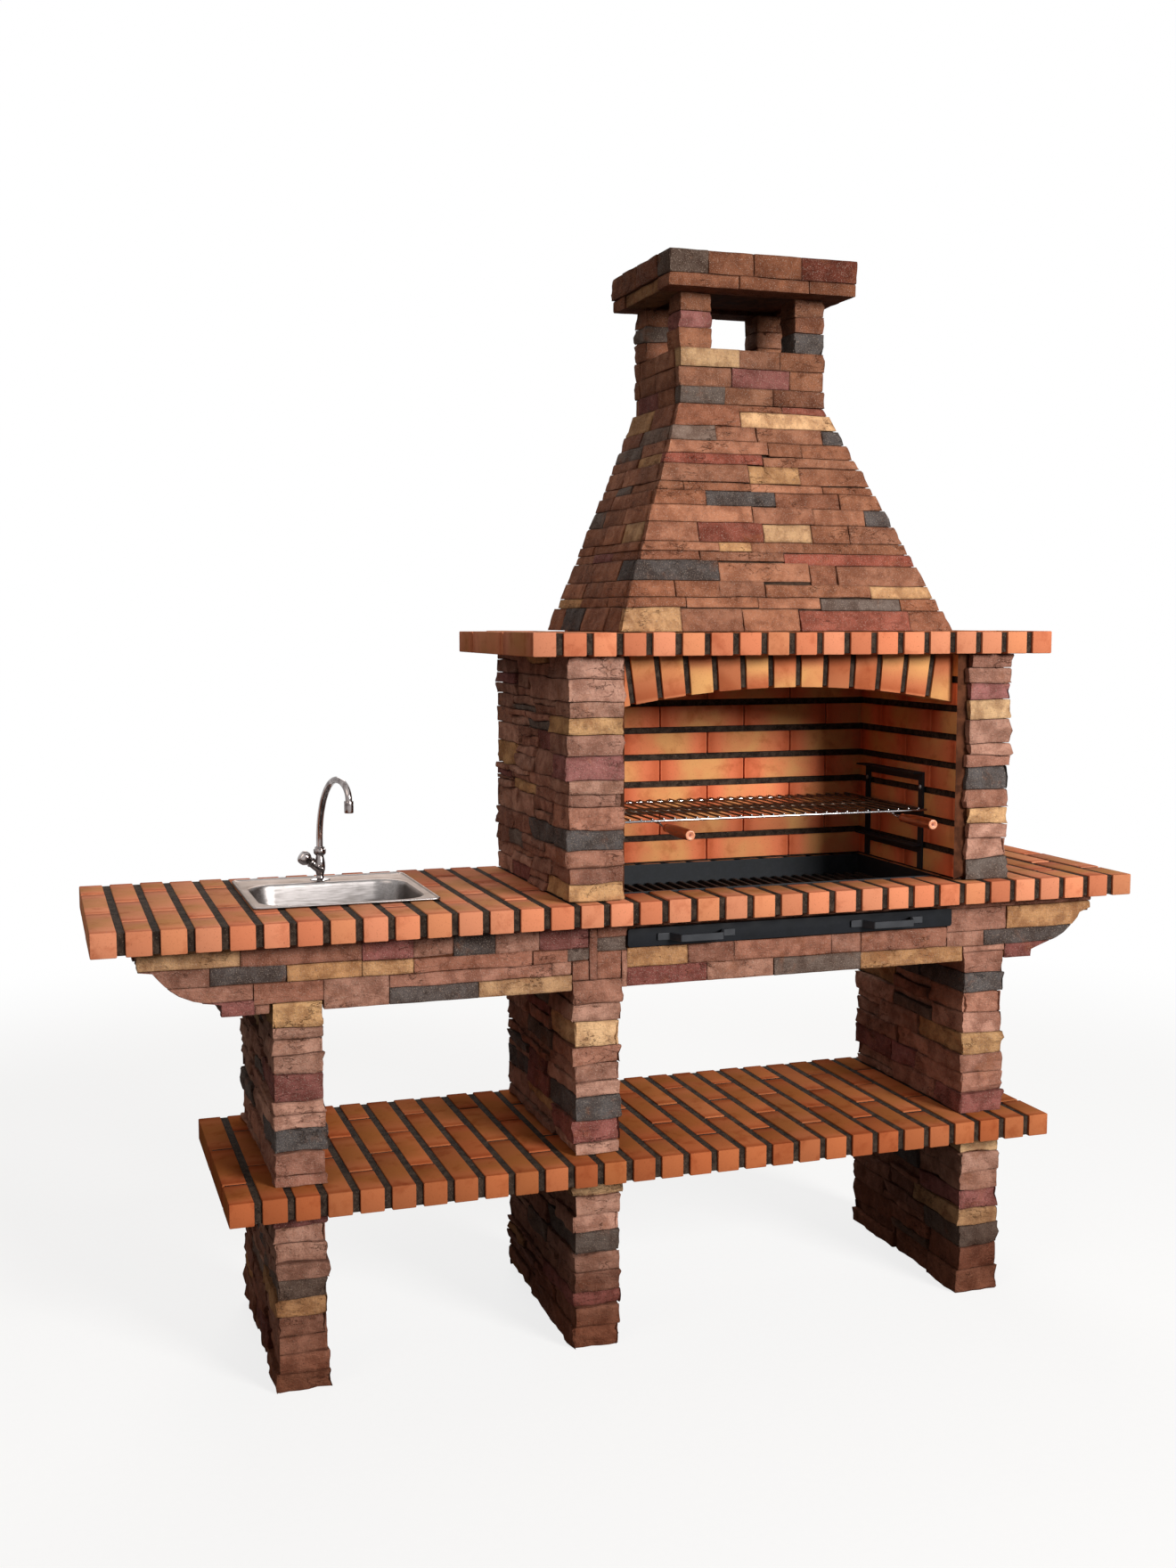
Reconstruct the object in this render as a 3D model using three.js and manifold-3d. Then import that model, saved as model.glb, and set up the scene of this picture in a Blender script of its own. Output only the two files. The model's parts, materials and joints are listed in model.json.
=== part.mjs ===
// A free-standing masonry barbecue: split stone-faced legs, a brick shelf, a brick worktop with a sink
// and a tap, and a brick-lined firebox with a grill and an ash drawer, under a stone hood and a chimney.
// Millimetres, +Z up, the front faces -Y. The origin is on the ground, under the middle of the object.
import * as THREE from 'three';
import { mergeVertices } from 'three/addons/utils/BufferGeometryUtils.js';
import Module from 'manifold-3d';

const wasm = await Module();
wasm.setup();

// Brick slabs: bricks on edge in rows that run from front to back, with dark mortar between them
const brickThickness = 45.6;
const mortarJoint = 14;
const jointRecess = 4;
const slabThickness = 46;
const slabDepth = 550;
const worktopRows = 36;
const sinkSlabRows = 16;
const shelfRows = 29;
const mantelRows = 19;
const shelfOverhang = 226;

// Heights of the top faces, and of the firebox walls
const worktopHeight = 904;
const shelfHeight = 397;
const fireboxHeight = 469;

// Gaps: the bed between two touching pieces, the running clearance and the overrun of a cut
const bed = 0.3;
const clearance = 1;
const overrun = 5;

// Legs
const legWidth = 98;
const legFrontInset = 58;
const stoneBackInset = 20;
const legLetIn = 18;

// Base units: hollow beams with a corbel at the outer end
const baseHeight = 132;
const baseFrontInset = 60;
const baseWall = 40;
const baseFloor = 38;
const leftCorbelInset = 80;
const rightCorbelInset = 56;
const leftLegOverhang = 235;
const rightLegOverhang = 214;
const corbelNoseLength = 22;
const corbelNoseHeight = 41;
const corbelCurveLength = 88;
const corbelShelfLength = 34;
const corbelBulge = 11;
const corbelFootHeight = 27;

// Firebox: the fire opening lies over whole brick rows of the right slab
const fireFirstRow = 17;
const fireRows = 12;
const fireOpeningFront = 110;
const fireMargin = 6.4;
const fireboxShift = 5;
const wallWidth = 100;
const wallFrontInset = 27;
const wallLip = 15;
const liningThickness = 20;
const backWallThickness = 54;
const archFrontInset = 62;
const archDepth = 105;
const archEndHeight = 100;
const archRise = 35;
const archBricks = 13;
const archJoint = 12;
const archFanRadius = 2400;

// Hood, chimney and cap
const flueWidth = 600;
const flueFrontInset = 185;
const flueBackInset = 115;
const hoodWidth = 730;
const hoodFrontInset = 66;
const hoodHeight = 465;
const hoodWall = 45;
const chimneyWidth = 330;
const chimneyDepth = 264;
const chimneyWall = 60;
const chimneyBaseHeight = 112;
const postSize = 72;
const postHeight = 111;
const capWidth = 422;
const capFrontOverhang = 59;
const capThickness = 71;

// Fire tray and charcoal grate
const trayWall = 3;
const trayLedge = 22;
const trayDrop = 12;
const traySeat = 21;
const grateBarWidth = 7;
const grateBarHeight = 9;
const grateBars = 28;
const grateRunnerWidth = 20;
const grateRunnerHeight = 6;
const grateRunners = 3;
const grateGap = 5;

// Ash drawer
const drawerSlotDrop = 16;
const drawerSlotHeight = 39;
const drawerSideGap = 6;
const drawerPanHeight = 32;
const drawerBackGap = 25;
const drawerSheet = 1.5;
const drawerFrontHeight = 37;
const drawerFrontLap = 19;
const drawerFrontSheet = 3;
const drawerHandleSpacing = 424;
const drawerHandleLength = 165;
const drawerHandleGrip = 85;
const drawerHandleReach = 34;
const drawerHandleSlope = 12;
const drawerHandleStrip = 14;
const drawerHandleSheet = 4;
const runnerWidth = 22;
const runnerHeight = 18;
const runnerSheet = 3;
const runnerBackGap = 20;

// Grill racks, one on each side lining
const rackFrontInset = 165;
const rackBackGap = 37;
const rackPost = 19;
const rackSheet = 4;
const rackLedge = 28;
const rackLedgeSheet = 3;
const rackLedgeWeb = 19;
const rackLevel = 136;
const rackPitch = 78;
const rackFootGap = 6;
const rackScrewHeight = 46;
const screwHeadRadius = 5;
const screwHeadHeight = 3;
const screwShankRadius = 2.3;
const screwLength = 28;

// Grill
const grillRodDiameter = 5;
const grillBarDiameter = 4;
const grillBars = 28;
const grillBarPitch = 24;
const grillLength = 690;
const grillBackGap = 4;
const grillFrontInset = 117;
const grillRods = 3;
const weldSink = 0.6;
const stemDiameter = 4;
const stemLength = 95;
const stemInGrip = 40;
const stemDrop = 4;
const stemBend = 18;
const stemUnderGrill = 22;
const gripSpacing = 524;
const gripLength = 130;
const gripRadius = 11;
const gripEndRadius = 8.5;
const gripNeckRadius = 7.5;

// Sink
const sinkRimWidth = 20;
const sinkBackInset = 55;
const sinkLeftInset = 298;
const sinkFrontInset = 145;
const sinkCorner = 14;
const sinkSheet = 1.5;
const sinkBeadWidth = 6;
const sinkBeadHeight = 4;
const bowlWidth = 320;
const bowlFrontInset = 22;
const tapLedge = 70;
const bowlCorner = 58;
const bowlDepth = 126;
const bowlFloorRadius = 22;
const cutoutGap = 10;
const wasteFlangeRadius = 35;
const wasteFlangeHeight = 2.5;
const wasteSleeveRadius = 21.5;
const wasteSleeveWall = 3;
const wasteSleeveLength = 34;
const wasteSlots = 8;
const wasteSlotRadius = 3;
const wasteSlotCircle = 12;
const wasteNutRadius = 31;
const wasteNutHeight = 11;
const wasteTailRadius = 20;
const wasteTailWall = 2.5;
const wasteTailLength = 58;
const wasteSocketDepth = 12;
const wasteSocketWall = 3;
const wasteHoleRadius = 48;
const clipWidth = 18;
const clipSheet = 2;
const clipReach = 26;
const clipRise = 32;
const clipRoom = 22;

// Tap, on the ledge behind the bowl
const tapBackInset = 36;
const tapShift = 2;
const tapFlangeRadius = 21;
const tapFlangeHeight = 4;
const tapFootRadius = 9;
const tapWaistRadius = 7.5;
const tapBellyRadius = 11;
const tapNeckRadius = 8;
const tapBodyHeight = 60;
const tapBellyHeight = 24;
const tapShankRadius = 6;
const tapShankLength = 72;
const tapHoleRadius = 9;
const tapNutRadius = 14;
const tapNutHeight = 8;
const valveTilt = 55;
const valveArmRadius = 9.5;
const valveArmLength = 25;
const spindleRadius = 3.5;
const spindleLength = 24;
const knobRadius = 14;
const knobLength = 26;
const knobNeckRadius = 9;
const collarRadius = 13;
const collarHeight = 17;
const collarSides = 8;
const spoutRadius = 7;
const spoutWall = 1.5;
const spoutStraight = 20;
const spoutRise = 135;
const spoutReach = 95;
const spoutDropReach = 52;
const spoutDrop = 36;
const spoutTip = 11;
const spoutTurn = -76;
const aeratorRadius = 9.5;
const aeratorLength = 24;
const aeratorSocket = 9;

// Shares of a named size
const quarterArcShare = 0.5523;
const knobShoulderShare = 0.8;
const gripBellyShare = 0.3;
const beltShares = { low: 0.12, high: 0.62, neck: 0.86 };

// How finely round surfaces are cut
const wireSides = 6;
const smallRound = 8;
const round = 16;
const arcSteps = 6;
const bevelSteps = 3;
const neckSteps = 18;
const stemSteps = 12;
const nutSides = 6;

// Corners closer than this are one corner
const mergeDistance = 1e-4;

// Places that several pieces share
const rowPitch = brickThickness + mortarJoint;
const rowsLength = (rows) => (rows - 1) * rowPitch + brickThickness;
const worktopLength = rowsLength(worktopRows);
const slabJoint = sinkSlabRows * rowPitch - mortarJoint / 2;
const worktopUnderside = worktopHeight - slabThickness;
const shelfUnderside = shelfHeight - slabThickness;
const soffit = worktopUnderside - baseHeight;
const stoneBack = slabDepth - stoneBackInset;
const mantelUnderside = worktopHeight + fireboxHeight;
const mantelTop = mantelUnderside + slabThickness;
const sinkWidth = bowlWidth + 2 * sinkRimWidth;
const sinkDepth = slabDepth - sinkFrontInset - sinkBackInset;
const bowlDepthFrontBack = sinkDepth - bowlFrontInset - tapLedge;
const bowlLeft = sinkLeftInset + sinkRimWidth;
const bowlFront = sinkFrontInset + bowlFrontInset;
const leftCavityInset = bowlLeft - clipReach - clipRoom - leftCorbelInset;
const fireOpeningStart = fireFirstRow * rowPitch - mortarJoint / 2;
const fireOpeningWidth = fireRows * rowPitch;
const fireCentre = fireOpeningStart + fireOpeningWidth / 2 - fireboxShift;
const fireClearWidth = fireOpeningWidth + 2 * fireMargin;
const wallGap = fireClearWidth + 2 * liningThickness;
const fireBack = stoneBack - backWallThickness - liningThickness;
const liningFront = wallFrontInset + wallLip;
const rackWidth = fireBack - rackFrontInset - rackBackGap;
const grillDepth = fireBack - grillFrontInset - grillBackGap;
const rackTop = worktopHeight + rackLevel;
const gripReach = grillFrontInset - stemLength + stemUnderGrill + stemInGrip - gripLength;
const frontmost = Math.min(0, gripReach);

// Finishes
function finish(color, roughness, metalness = 0) {
  return new THREE.MeshStandardMaterial({ color, roughness, metalness });
}

const stone = finish('#8f6652', 0.9);
const brick = finish('#c06a3c', 0.8);
const paleBrick = finish('#d08250', 0.8);
const blackSteel = finish('#1c1f22', 0.45, 0.6);
const rawSteel = finish('#2a2826', 0.7, 0.5);
const chrome = finish('#d8dadc', 0.15, 1);
const stainless = finish('#b8bab9', 0.35, 1);
const wood = finish('#9a4a1e', 0.5);
const grey = finish('#9a9c9e', 0.6);
const zinc = finish('#8e9092', 0.5, 0.8);

// Shapes are three.js geometry, and become closed solids where they are joined or cut
function solid(geometry) {
  const loose = geometry.index ? geometry.toNonIndexed() : geometry;
  const bare = new THREE.BufferGeometry().setAttribute('position', loose.getAttribute('position'));
  const merged = mergeVertices(bare, mergeDistance);
  const vertProperties = merged.getAttribute('position').array;
  const triVerts = new Uint32Array(merged.index.array);
  return new wasm.Manifold(new wasm.Mesh({ numProp: 3, vertProperties, triVerts }));
}

function geometryOf(body) {
  const { vertProperties, triVerts } = body.getMesh();
  const geometry = new THREE.BufferGeometry();
  geometry.setAttribute('position', new THREE.BufferAttribute(vertProperties, 3));
  geometry.setIndex(new THREE.BufferAttribute(triVerts, 1));
  const facets = geometry.toNonIndexed();
  facets.computeVertexNormals();
  return facets;
}

const bodyOf = (shape) => (shape.isBufferGeometry ? solid(shape) : shape);
const join = (shapes) => shapes.map(bodyOf).reduce((sum, body) => sum.add(body));
const cut = (shape, ...tools) => tools.map(bodyOf).reduce((rest, tool) => rest.subtract(tool), bodyOf(shape));

// A box whose lowest corner lies at x, y, z
function block(width, depth, height, x = 0, y = 0, z = 0) {
  const geometry = new THREE.BoxGeometry(width, depth, height);
  return geometry.translate(x + width / 2, y + depth / 2, z + height / 2);
}

// A frustum between a lower and an upper rectangle, each given as left, right, front and back
function frustum(lower, upper, height) {
  const geometry = new THREE.BoxGeometry(1, 1, 1);
  const corners = geometry.getAttribute('position');
  for (let i = 0; i < corners.count; i++) {
    const level = corners.getZ(i) < 0 ? lower : upper;
    const x = corners.getX(i) < 0 ? level.left : level.right;
    const y = corners.getY(i) < 0 ? level.front : level.back;
    corners.setXYZ(i, x, y, corners.getZ(i) < 0 ? 0 : height);
  }
  return geometry;
}

// An outline in X and Z, drawn out from y = 0 to the back
function upright(outline, depth) {
  const options = { depth, bevelEnabled: false, curveSegments: arcSteps };
  const geometry = new THREE.ExtrudeGeometry(outline, options);
  return geometry.rotateX(Math.PI / 2).translate(0, depth, 0);
}

// An outline in X and Y, drawn out from z = 0 upwards
function plate(outline, height) {
  return new THREE.ExtrudeGeometry(outline, { depth: height, bevelEnabled: false, curveSegments: arcSteps });
}

const polygon = (points) => new THREE.Shape(points.map(([x, y]) => new THREE.Vector2(x, y)));

// A turned piece on the Z axis, from a profile of radius and height
function turned(profile, sides = round) {
  const points = profile.map(([radius, height]) => new THREE.Vector2(radius, height));
  return new THREE.LatheGeometry(points, sides).rotateX(Math.PI / 2);
}

function disc(radius, low, high, sides = round) {
  return turned([[0, low], [radius, low], [radius, high], [0, high]], sides);
}

// A ring with a round bore, whose outside has the given number of sides
function ring(outer, inner, low, high, sides = round) {
  return cut(disc(outer, low, high, sides), disc(inner, low - overrun, high + overrun));
}

function rod(diameter, length, sides = wireSides) {
  return new THREE.CylinderGeometry(diameter / 2, diameter / 2, length, sides);
}

// The object, laid out from the worktop's left front corner above the ground
const barbecue = new THREE.Group();
const layout = new THREE.Group();
layout.position.set(-worktopLength / 2, -(slabDepth + frontmost) / 2, 0);
barbecue.add(layout);

function add(parent, name, shape, material, x = 0, y = 0, z = 0) {
  const mesh = new THREE.Mesh(geometryOf(bodyOf(shape)), material);
  mesh.name = name;
  mesh.position.set(x, y, z);
  parent.add(mesh);
  return mesh;
}

function group(parent, x, y, z) {
  const made = new THREE.Group();
  made.position.set(x, y, z);
  parent.add(made);
  return made;
}

// Brick slab: rows of bricks that stand a little proud of their mortar
function brickSlab(rows, leftJoint = 0, rightJoint = 0) {
  const bricks = [];
  for (let row = 0; row < rows; row++) {
    bricks.push(block(brickThickness, slabDepth, slabThickness, row * rowPitch));
  }
  const start = leftJoint ? -leftJoint : jointRecess;
  const end = rowsLength(rows) + (rightJoint ? rightJoint : -jointRecess);
  const depth = slabDepth - 2 * jointRecess;
  const mortar = block(end - start, depth, slabThickness - 2 * jointRecess, start, jointRecess, jointRecess);
  return join([mortar, ...bricks]);
}

// Legs and shelf
function legBodies() {
  const depth = stoneBack - legFrontInset;
  const lower = block(legWidth, depth, shelfUnderside - bed);
  const upper = block(legWidth, depth, soffit + legLetIn - shelfHeight - bed);
  return { lower, upper };
}

const legPlaces = {
  left: leftCorbelInset + leftLegOverhang,
  middle: slabJoint - legWidth / 2,
  right: worktopLength - rightCorbelInset - rightLegOverhang - legWidth,
};
const legs = legBodies();
for (const [side, x] of Object.entries(legPlaces)) {
  add(layout, `${side}_lower_leg`, legs.lower, stone, x, legFrontInset, 0);
  add(layout, `${side}_upper_leg`, legs.upper, stone, x, legFrontInset, shelfHeight + bed);
}
add(layout, 'shelf_slab', brickSlab(shelfRows), brick, shelfOverhang, 0, shelfUnderside);

// Base units: the outline starts at the corbel's nose, and side says which way the beam runs from it
function corbelOutline(side, length) {
  const curveEnd = corbelNoseLength + corbelCurveLength;
  const footStart = curveEnd + corbelShelfLength;
  const top = baseHeight - bed;
  const noseBase = baseHeight - corbelNoseHeight;
  const fall = noseBase - corbelFootHeight;
  const chord = Math.hypot(corbelCurveLength, fall);
  const bulge = (2 * corbelBulge) / chord;
  const controlX = corbelNoseLength + corbelCurveLength / 2 - bulge * fall;
  const controlZ = corbelFootHeight + fall / 2 - bulge * corbelCurveLength;
  const outline = new THREE.Shape();
  outline.moveTo(side * footStart, 0);
  outline.lineTo(side * footStart, corbelFootHeight);
  outline.lineTo(side * curveEnd, corbelFootHeight);
  outline.quadraticCurveTo(side * controlX, controlZ, side * corbelNoseLength, noseBase);
  outline.lineTo(0, noseBase);
  outline.lineTo(0, top);
  outline.lineTo(side * length, top);
  outline.lineTo(side * length, 0);
  return outline;
}

const baseDepth = stoneBack - baseFrontInset;
const drawerPanDepth = baseDepth - baseWall - drawerBackGap;
const runnerLength = baseDepth - 2 * baseWall - runnerBackGap;

// Room for the top of a leg that stands at x
function legNotch(x) {
  const depth = stoneBack - legFrontInset + bed + overrun;
  return block(legWidth + 2 * bed, depth, legLetIn + bed + overrun, x - bed, -overrun, -overrun);
}

function leftBaseUnit() {
  const length = slabJoint - bed / 2 - leftCorbelInset;
  const beam = upright(corbelOutline(1, length), baseDepth);
  const cavityWidth = length - leftCavityInset - baseWall;
  const cavityDepth = baseDepth - 2 * baseWall;
  const cavity = block(cavityWidth, cavityDepth, baseHeight, leftCavityInset, baseWall, baseFloor);
  const wasteX = sinkLeftInset + sinkWidth / 2 - leftCorbelInset;
  const wasteY = sinkFrontInset + bowlFrontInset + bowlDepthFrontBack / 2 - baseFrontInset;
  const wasteHole = disc(wasteHoleRadius, -overrun, baseHeight).translate(wasteX, wasteY, 0);
  const notches = [legPlaces.left, legPlaces.middle].map((x) => legNotch(x - leftCorbelInset));
  return cut(beam, cavity, wasteHole, ...notches);
}

const trayStart = fireOpeningStart + clearance;
const trayLength = fireOpeningWidth - 2 * clearance;
const cavityStart = trayStart - clearance;
const cavityLength = trayLength + 2 * clearance;
const drawerCavityStart = cavityStart + traySeat;
const drawerCavityLength = cavityLength - 2 * traySeat;
const slotTop = baseHeight - drawerSlotDrop;

function rightBaseUnit() {
  const start = slabJoint + bed / 2;
  const nose = worktopLength - rightCorbelInset;
  const beam = upright(corbelOutline(-1, nose - start), baseDepth);
  const inner = baseDepth - 2 * baseWall;
  const trayX = cavityStart - nose;
  const drawerX = drawerCavityStart - nose;
  const trayRoom = block(cavityLength, inner, baseHeight, trayX, baseWall, baseHeight - trayDrop);
  const drawerRoom = block(drawerCavityLength, inner, baseHeight, drawerX, baseWall, baseFloor);
  const slotDepth = baseWall + 2 * overrun;
  const slotBase = slotTop - drawerSlotHeight;
  const slot = block(drawerCavityLength, slotDepth, drawerSlotHeight, drawerX, -overrun, slotBase);
  const notches = [legPlaces.middle, legPlaces.right].map((x) => legNotch(x - nose));
  return cut(beam, trayRoom, drawerRoom, slot, ...notches);
}

add(layout, 'left_base_unit', leftBaseUnit(), stone, leftCorbelInset, baseFrontInset, soffit);
const rightNose = worktopLength - rightCorbelInset;
add(layout, 'right_base_unit', rightBaseUnit(), stone, rightNose, baseFrontInset, soffit);

// Worktop slabs, with the sink's cut-out and the fire opening
const halfJoint = mortarJoint / 2 - bed / 2;
const tapX = sinkLeftInset + sinkWidth / 2 - tapShift;
const tapY = sinkFrontInset + sinkDepth - tapBackInset;

function sinkSlab() {
  const width = bowlWidth + 2 * cutoutGap;
  const depth = bowlDepthFrontBack + 2 * cutoutGap;
  const height = slabThickness + 2 * overrun;
  const cutout = block(width, depth, height, bowlLeft - cutoutGap, bowlFront - cutoutGap, -overrun);
  const tapHole = disc(tapHoleRadius, -overrun, slabThickness + overrun).translate(tapX, tapY, 0);
  return cut(brickSlab(sinkSlabRows, 0, halfJoint), cutout, tapHole);
}

const fireOpeningDepth = fireBack - 2 * clearance - fireOpeningFront;

function fireSlab() {
  const rows = worktopRows - sinkSlabRows;
  const start = fireOpeningStart - sinkSlabRows * rowPitch;
  const height = slabThickness + 2 * overrun;
  const opening = block(fireOpeningWidth, fireOpeningDepth, height, start, fireOpeningFront, -overrun);
  return cut(brickSlab(rows, halfJoint, 0), opening);
}

add(layout, 'left_worktop_slab', sinkSlab(), brick, 0, 0, worktopUnderside);
add(layout, 'right_worktop_slab', fireSlab(), brick, sinkSlabRows * rowPitch, 0, worktopUnderside);

// Firebox: walls with a lip that covers the lining's front edge, and screw holes for the racks
const wallHeight = fireboxHeight - 2 * bed;
const firebox = group(layout, fireCentre, 0, worktopHeight + bed);
const rackScrewY = [rackPost / 2, rackWidth - rackPost / 2].map((y) => rackFrontInset + y);
const rackScrewZ = rackLevel + rackScrewHeight - bed;

function screwHole(y) {
  const hole = disc(screwShankRadius + bed, -screwLength - overrun, screwLength + overrun, smallRound);
  return hole.rotateY(Math.PI / 2).translate(0, y, rackScrewZ);
}

function sideWall(side) {
  const inner = wallGap / 2;
  const depth = stoneBack - wallFrontInset;
  const plan = polygon([
    [side * (inner + wallWidth), 0],
    [side * inner, 0],
    [side * (inner - liningThickness), wallLip],
    [side * inner, wallLip],
    [side * inner, depth],
    [side * (inner + wallWidth), depth],
  ]);
  const holes = rackScrewY.map((y) => screwHole(y - wallFrontInset).translate(side * inner, 0, 0));
  return cut(plate(plan, wallHeight), ...holes);
}

function sideLining() {
  const depth = fireBack - bed - liningFront - bed;
  const panel = block(liningThickness - bed, depth, wallHeight);
  const holes = rackScrewY.map((y) => screwHole(y - liningFront - bed));
  return cut(panel, ...holes);
}

add(firebox, 'left_side_wall', sideWall(-1), stone, 0, wallFrontInset, 0);
add(firebox, 'right_side_wall', sideWall(1), stone, 0, wallFrontInset, 0);
const backWall = block(wallGap - 2 * bed, backWallThickness - bed, wallHeight, -wallGap / 2 + bed);
add(firebox, 'back_wall', backWall, stone, 0, stoneBack - backWallThickness + bed, 0);
const backLining = block(wallGap - 2 * bed, liningThickness, wallHeight, -wallGap / 2 + bed);
add(firebox, 'back_brick_lining', backLining, paleBrick, 0, fireBack, 0);
add(firebox, 'left_brick_lining', sideLining(), paleBrick, -wallGap / 2 + bed, liningFront + bed, 0);
add(firebox, 'right_brick_lining', sideLining(), paleBrick, fireClearWidth / 2, liningFront + bed, 0);

// Arch over the fire: bricks that fan out from a point far below, with a soffit cut to an arc
function archLintel() {
  const half = fireClearWidth / 2 - bed;
  const pitch = (2 * half + archJoint) / archBricks;
  const shrink = (archFanRadius - archEndHeight) / archFanRadius;
  const bricks = [];
  for (let i = 0; i < archBricks; i++) {
    const left = i === 0 ? -half : -half + i * pitch;
    const right = i === archBricks - 1 ? half : -half + (i + 1) * pitch - archJoint;
    const foot = (x) => (Math.abs(x) === half ? x : x * shrink);
    const wedge = polygon([[foot(left), 0], [foot(right), 0], [right, archEndHeight], [left, archEndHeight]]);
    bricks.push(upright(wedge, archDepth));
  }
  const mortarDepth = archDepth - 2 * jointRecess;
  const mortar = block(2 * half, mortarDepth, archEndHeight - jointRecess, -half, jointRecess, jointRecess);
  const radius = (half * half + archRise * archRise) / (2 * archRise);
  const sweep = Math.asin(half / radius);
  const under = new THREE.Shape();
  under.absarc(0, archRise - radius, radius, Math.PI / 2 + sweep, Math.PI / 2 - sweep, true);
  under.lineTo(half, -overrun);
  under.lineTo(-half, -overrun);
  const soffitCut = upright(under, archDepth + 2 * overrun).translate(0, -overrun, 0);
  return cut(join([mortar, ...bricks]), soffitCut);
}

const archHeight = wallHeight - archEndHeight;
add(firebox, 'brick_arch_lintel', archLintel(), paleBrick, 0, archFrontInset, archHeight);

// Mantel slab with the flue opening, and the hollow hood
function mantelSlab() {
  const length = rowsLength(mantelRows);
  const height = slabThickness + 2 * overrun;
  const flueDepth = slabDepth - flueFrontInset - flueBackInset;
  const flue = block(flueWidth, flueDepth, height, (length - flueWidth) / 2, flueFrontInset, -overrun);
  return cut(brickSlab(mantelRows), flue);
}

add(layout, 'mantel_slab', mantelSlab(), brick, fireCentre - rowsLength(mantelRows) / 2, 0, mantelUnderside);

const chimneyFront = stoneBack - chimneyDepth;
const stack = group(layout, fireCentre, 0, mantelTop + bed);

function rectangle(width, front, inset = 0) {
  const half = width / 2 - inset;
  return { left: -half, right: half, front: front + inset, back: stoneBack - inset };
}

function smokeHood() {
  const foot = rectangle(hoodWidth, hoodFrontInset);
  const outer = frustum(foot, rectangle(chimneyWidth, chimneyFront), hoodHeight - bed);
  const inner = frustum(
    rectangle(hoodWidth, hoodFrontInset, hoodWall),
    rectangle(chimneyWidth, chimneyFront, hoodWall),
    hoodHeight - bed,
  );
  return cut(outer, inner);
}

add(stack, 'smoke_hood', smokeHood(), stone);

// Chimney: three courses round the flue, four corner posts and a cap
function chimneyBase() {
  const width = chimneyWidth - 2 * chimneyWall;
  const depth = chimneyDepth - 2 * chimneyWall;
  const bore = block(width, depth, chimneyBaseHeight + 2 * overrun, -width / 2, chimneyWall, -overrun);
  return cut(block(chimneyWidth, chimneyDepth, chimneyBaseHeight - bed, -chimneyWidth / 2), bore);
}

add(stack, 'chimney_base', chimneyBase(), stone, 0, chimneyFront, hoodHeight);
const post = block(postSize, postSize, postHeight - bed);
const postZ = hoodHeight + chimneyBaseHeight;
const postPlaces = {
  left_front: [-chimneyWidth / 2, chimneyFront],
  right_front: [chimneyWidth / 2 - postSize, chimneyFront],
  left_rear: [-chimneyWidth / 2, stoneBack - postSize],
  right_rear: [chimneyWidth / 2 - postSize, stoneBack - postSize],
};
for (const [corner, [x, y]] of Object.entries(postPlaces)) {
  add(stack, `chimney_${corner}_post`, post, stone, x, y, postZ);
}
const capDepth = slabDepth - chimneyFront + capFrontOverhang;
const cap = block(capWidth, capDepth, capThickness, -capWidth / 2);
add(stack, 'chimney_cap', cap, stone, 0, chimneyFront - capFrontOverhang, postZ + postHeight);

// Fire tray: a steel frame that stands on the base unit, with an inward ledge for the grate
const trayDepth = fireOpeningDepth - 2 * clearance;
const trayFloor = worktopUnderside - trayDrop + bed;
const trayHeight = worktopHeight - trayFloor;

function fireTray() {
  const shell = block(trayLength, trayDepth, trayHeight);
  const roomDepth = trayDepth - 2 * trayWall;
  const mouthDepth = trayDepth - 2 * trayLedge;
  const room = block(trayLength - 2 * trayWall, roomDepth, trayHeight, trayWall, trayWall, trayWall);
  const mouth = block(trayLength - 2 * trayLedge, mouthDepth, trayHeight, trayLedge, trayLedge, -trayWall);
  return cut(shell, room, mouth);
}

const fire = group(layout, trayStart, fireOpeningFront + clearance, trayFloor);
add(fire, 'fire_tray', fireTray(), blackSteel);

// Charcoal grate: bars from front to back on cross runners
function charcoalGrate() {
  const length = trayLength - 2 * trayWall - 2 * grateGap;
  const depth = trayDepth - 2 * trayWall - 2 * grateGap;
  const pieces = [];
  for (let i = 0; i < grateRunners; i++) {
    const y = (i * (depth - grateRunnerWidth)) / (grateRunners - 1);
    pieces.push(block(length, grateRunnerWidth, grateRunnerHeight, 0, y, 0));
  }
  for (let i = 0; i < grateBars; i++) {
    const x = (i * (length - grateBarWidth)) / (grateBars - 1);
    pieces.push(block(grateBarWidth, depth, grateBarHeight, x, 0, grateRunnerHeight - weldSink));
  }
  return join(pieces);
}

const grateInset = trayWall + grateGap;
add(fire, 'charcoal_grate', charcoalGrate(), rawSteel, grateInset, grateInset, trayWall + bed);

// Ash drawer: a pan on two angle runners, behind a front plate with two bridge handles
const slotCentre = soffit + slotTop - drawerSlotHeight / 2;
const panStart = drawerCavityStart + drawerSideGap;
const panLength = drawerCavityLength - 2 * drawerSideGap;
const panFloor = slotCentre - drawerPanHeight / 2;
const drawer = group(layout, panStart, baseFrontInset - bed, panFloor);

function drawerPan() {
  const inner = block(
    panLength - 2 * drawerSheet,
    drawerPanDepth - 2 * drawerSheet,
    drawerPanHeight,
    drawerSheet,
    drawerSheet,
    drawerSheet,
  );
  return cut(block(panLength, drawerPanDepth, drawerPanHeight), inner);
}

const frontPlateStart = -drawerSideGap - drawerFrontLap;
const frontPlateLength = drawerCavityLength + 2 * drawerFrontLap;

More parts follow.
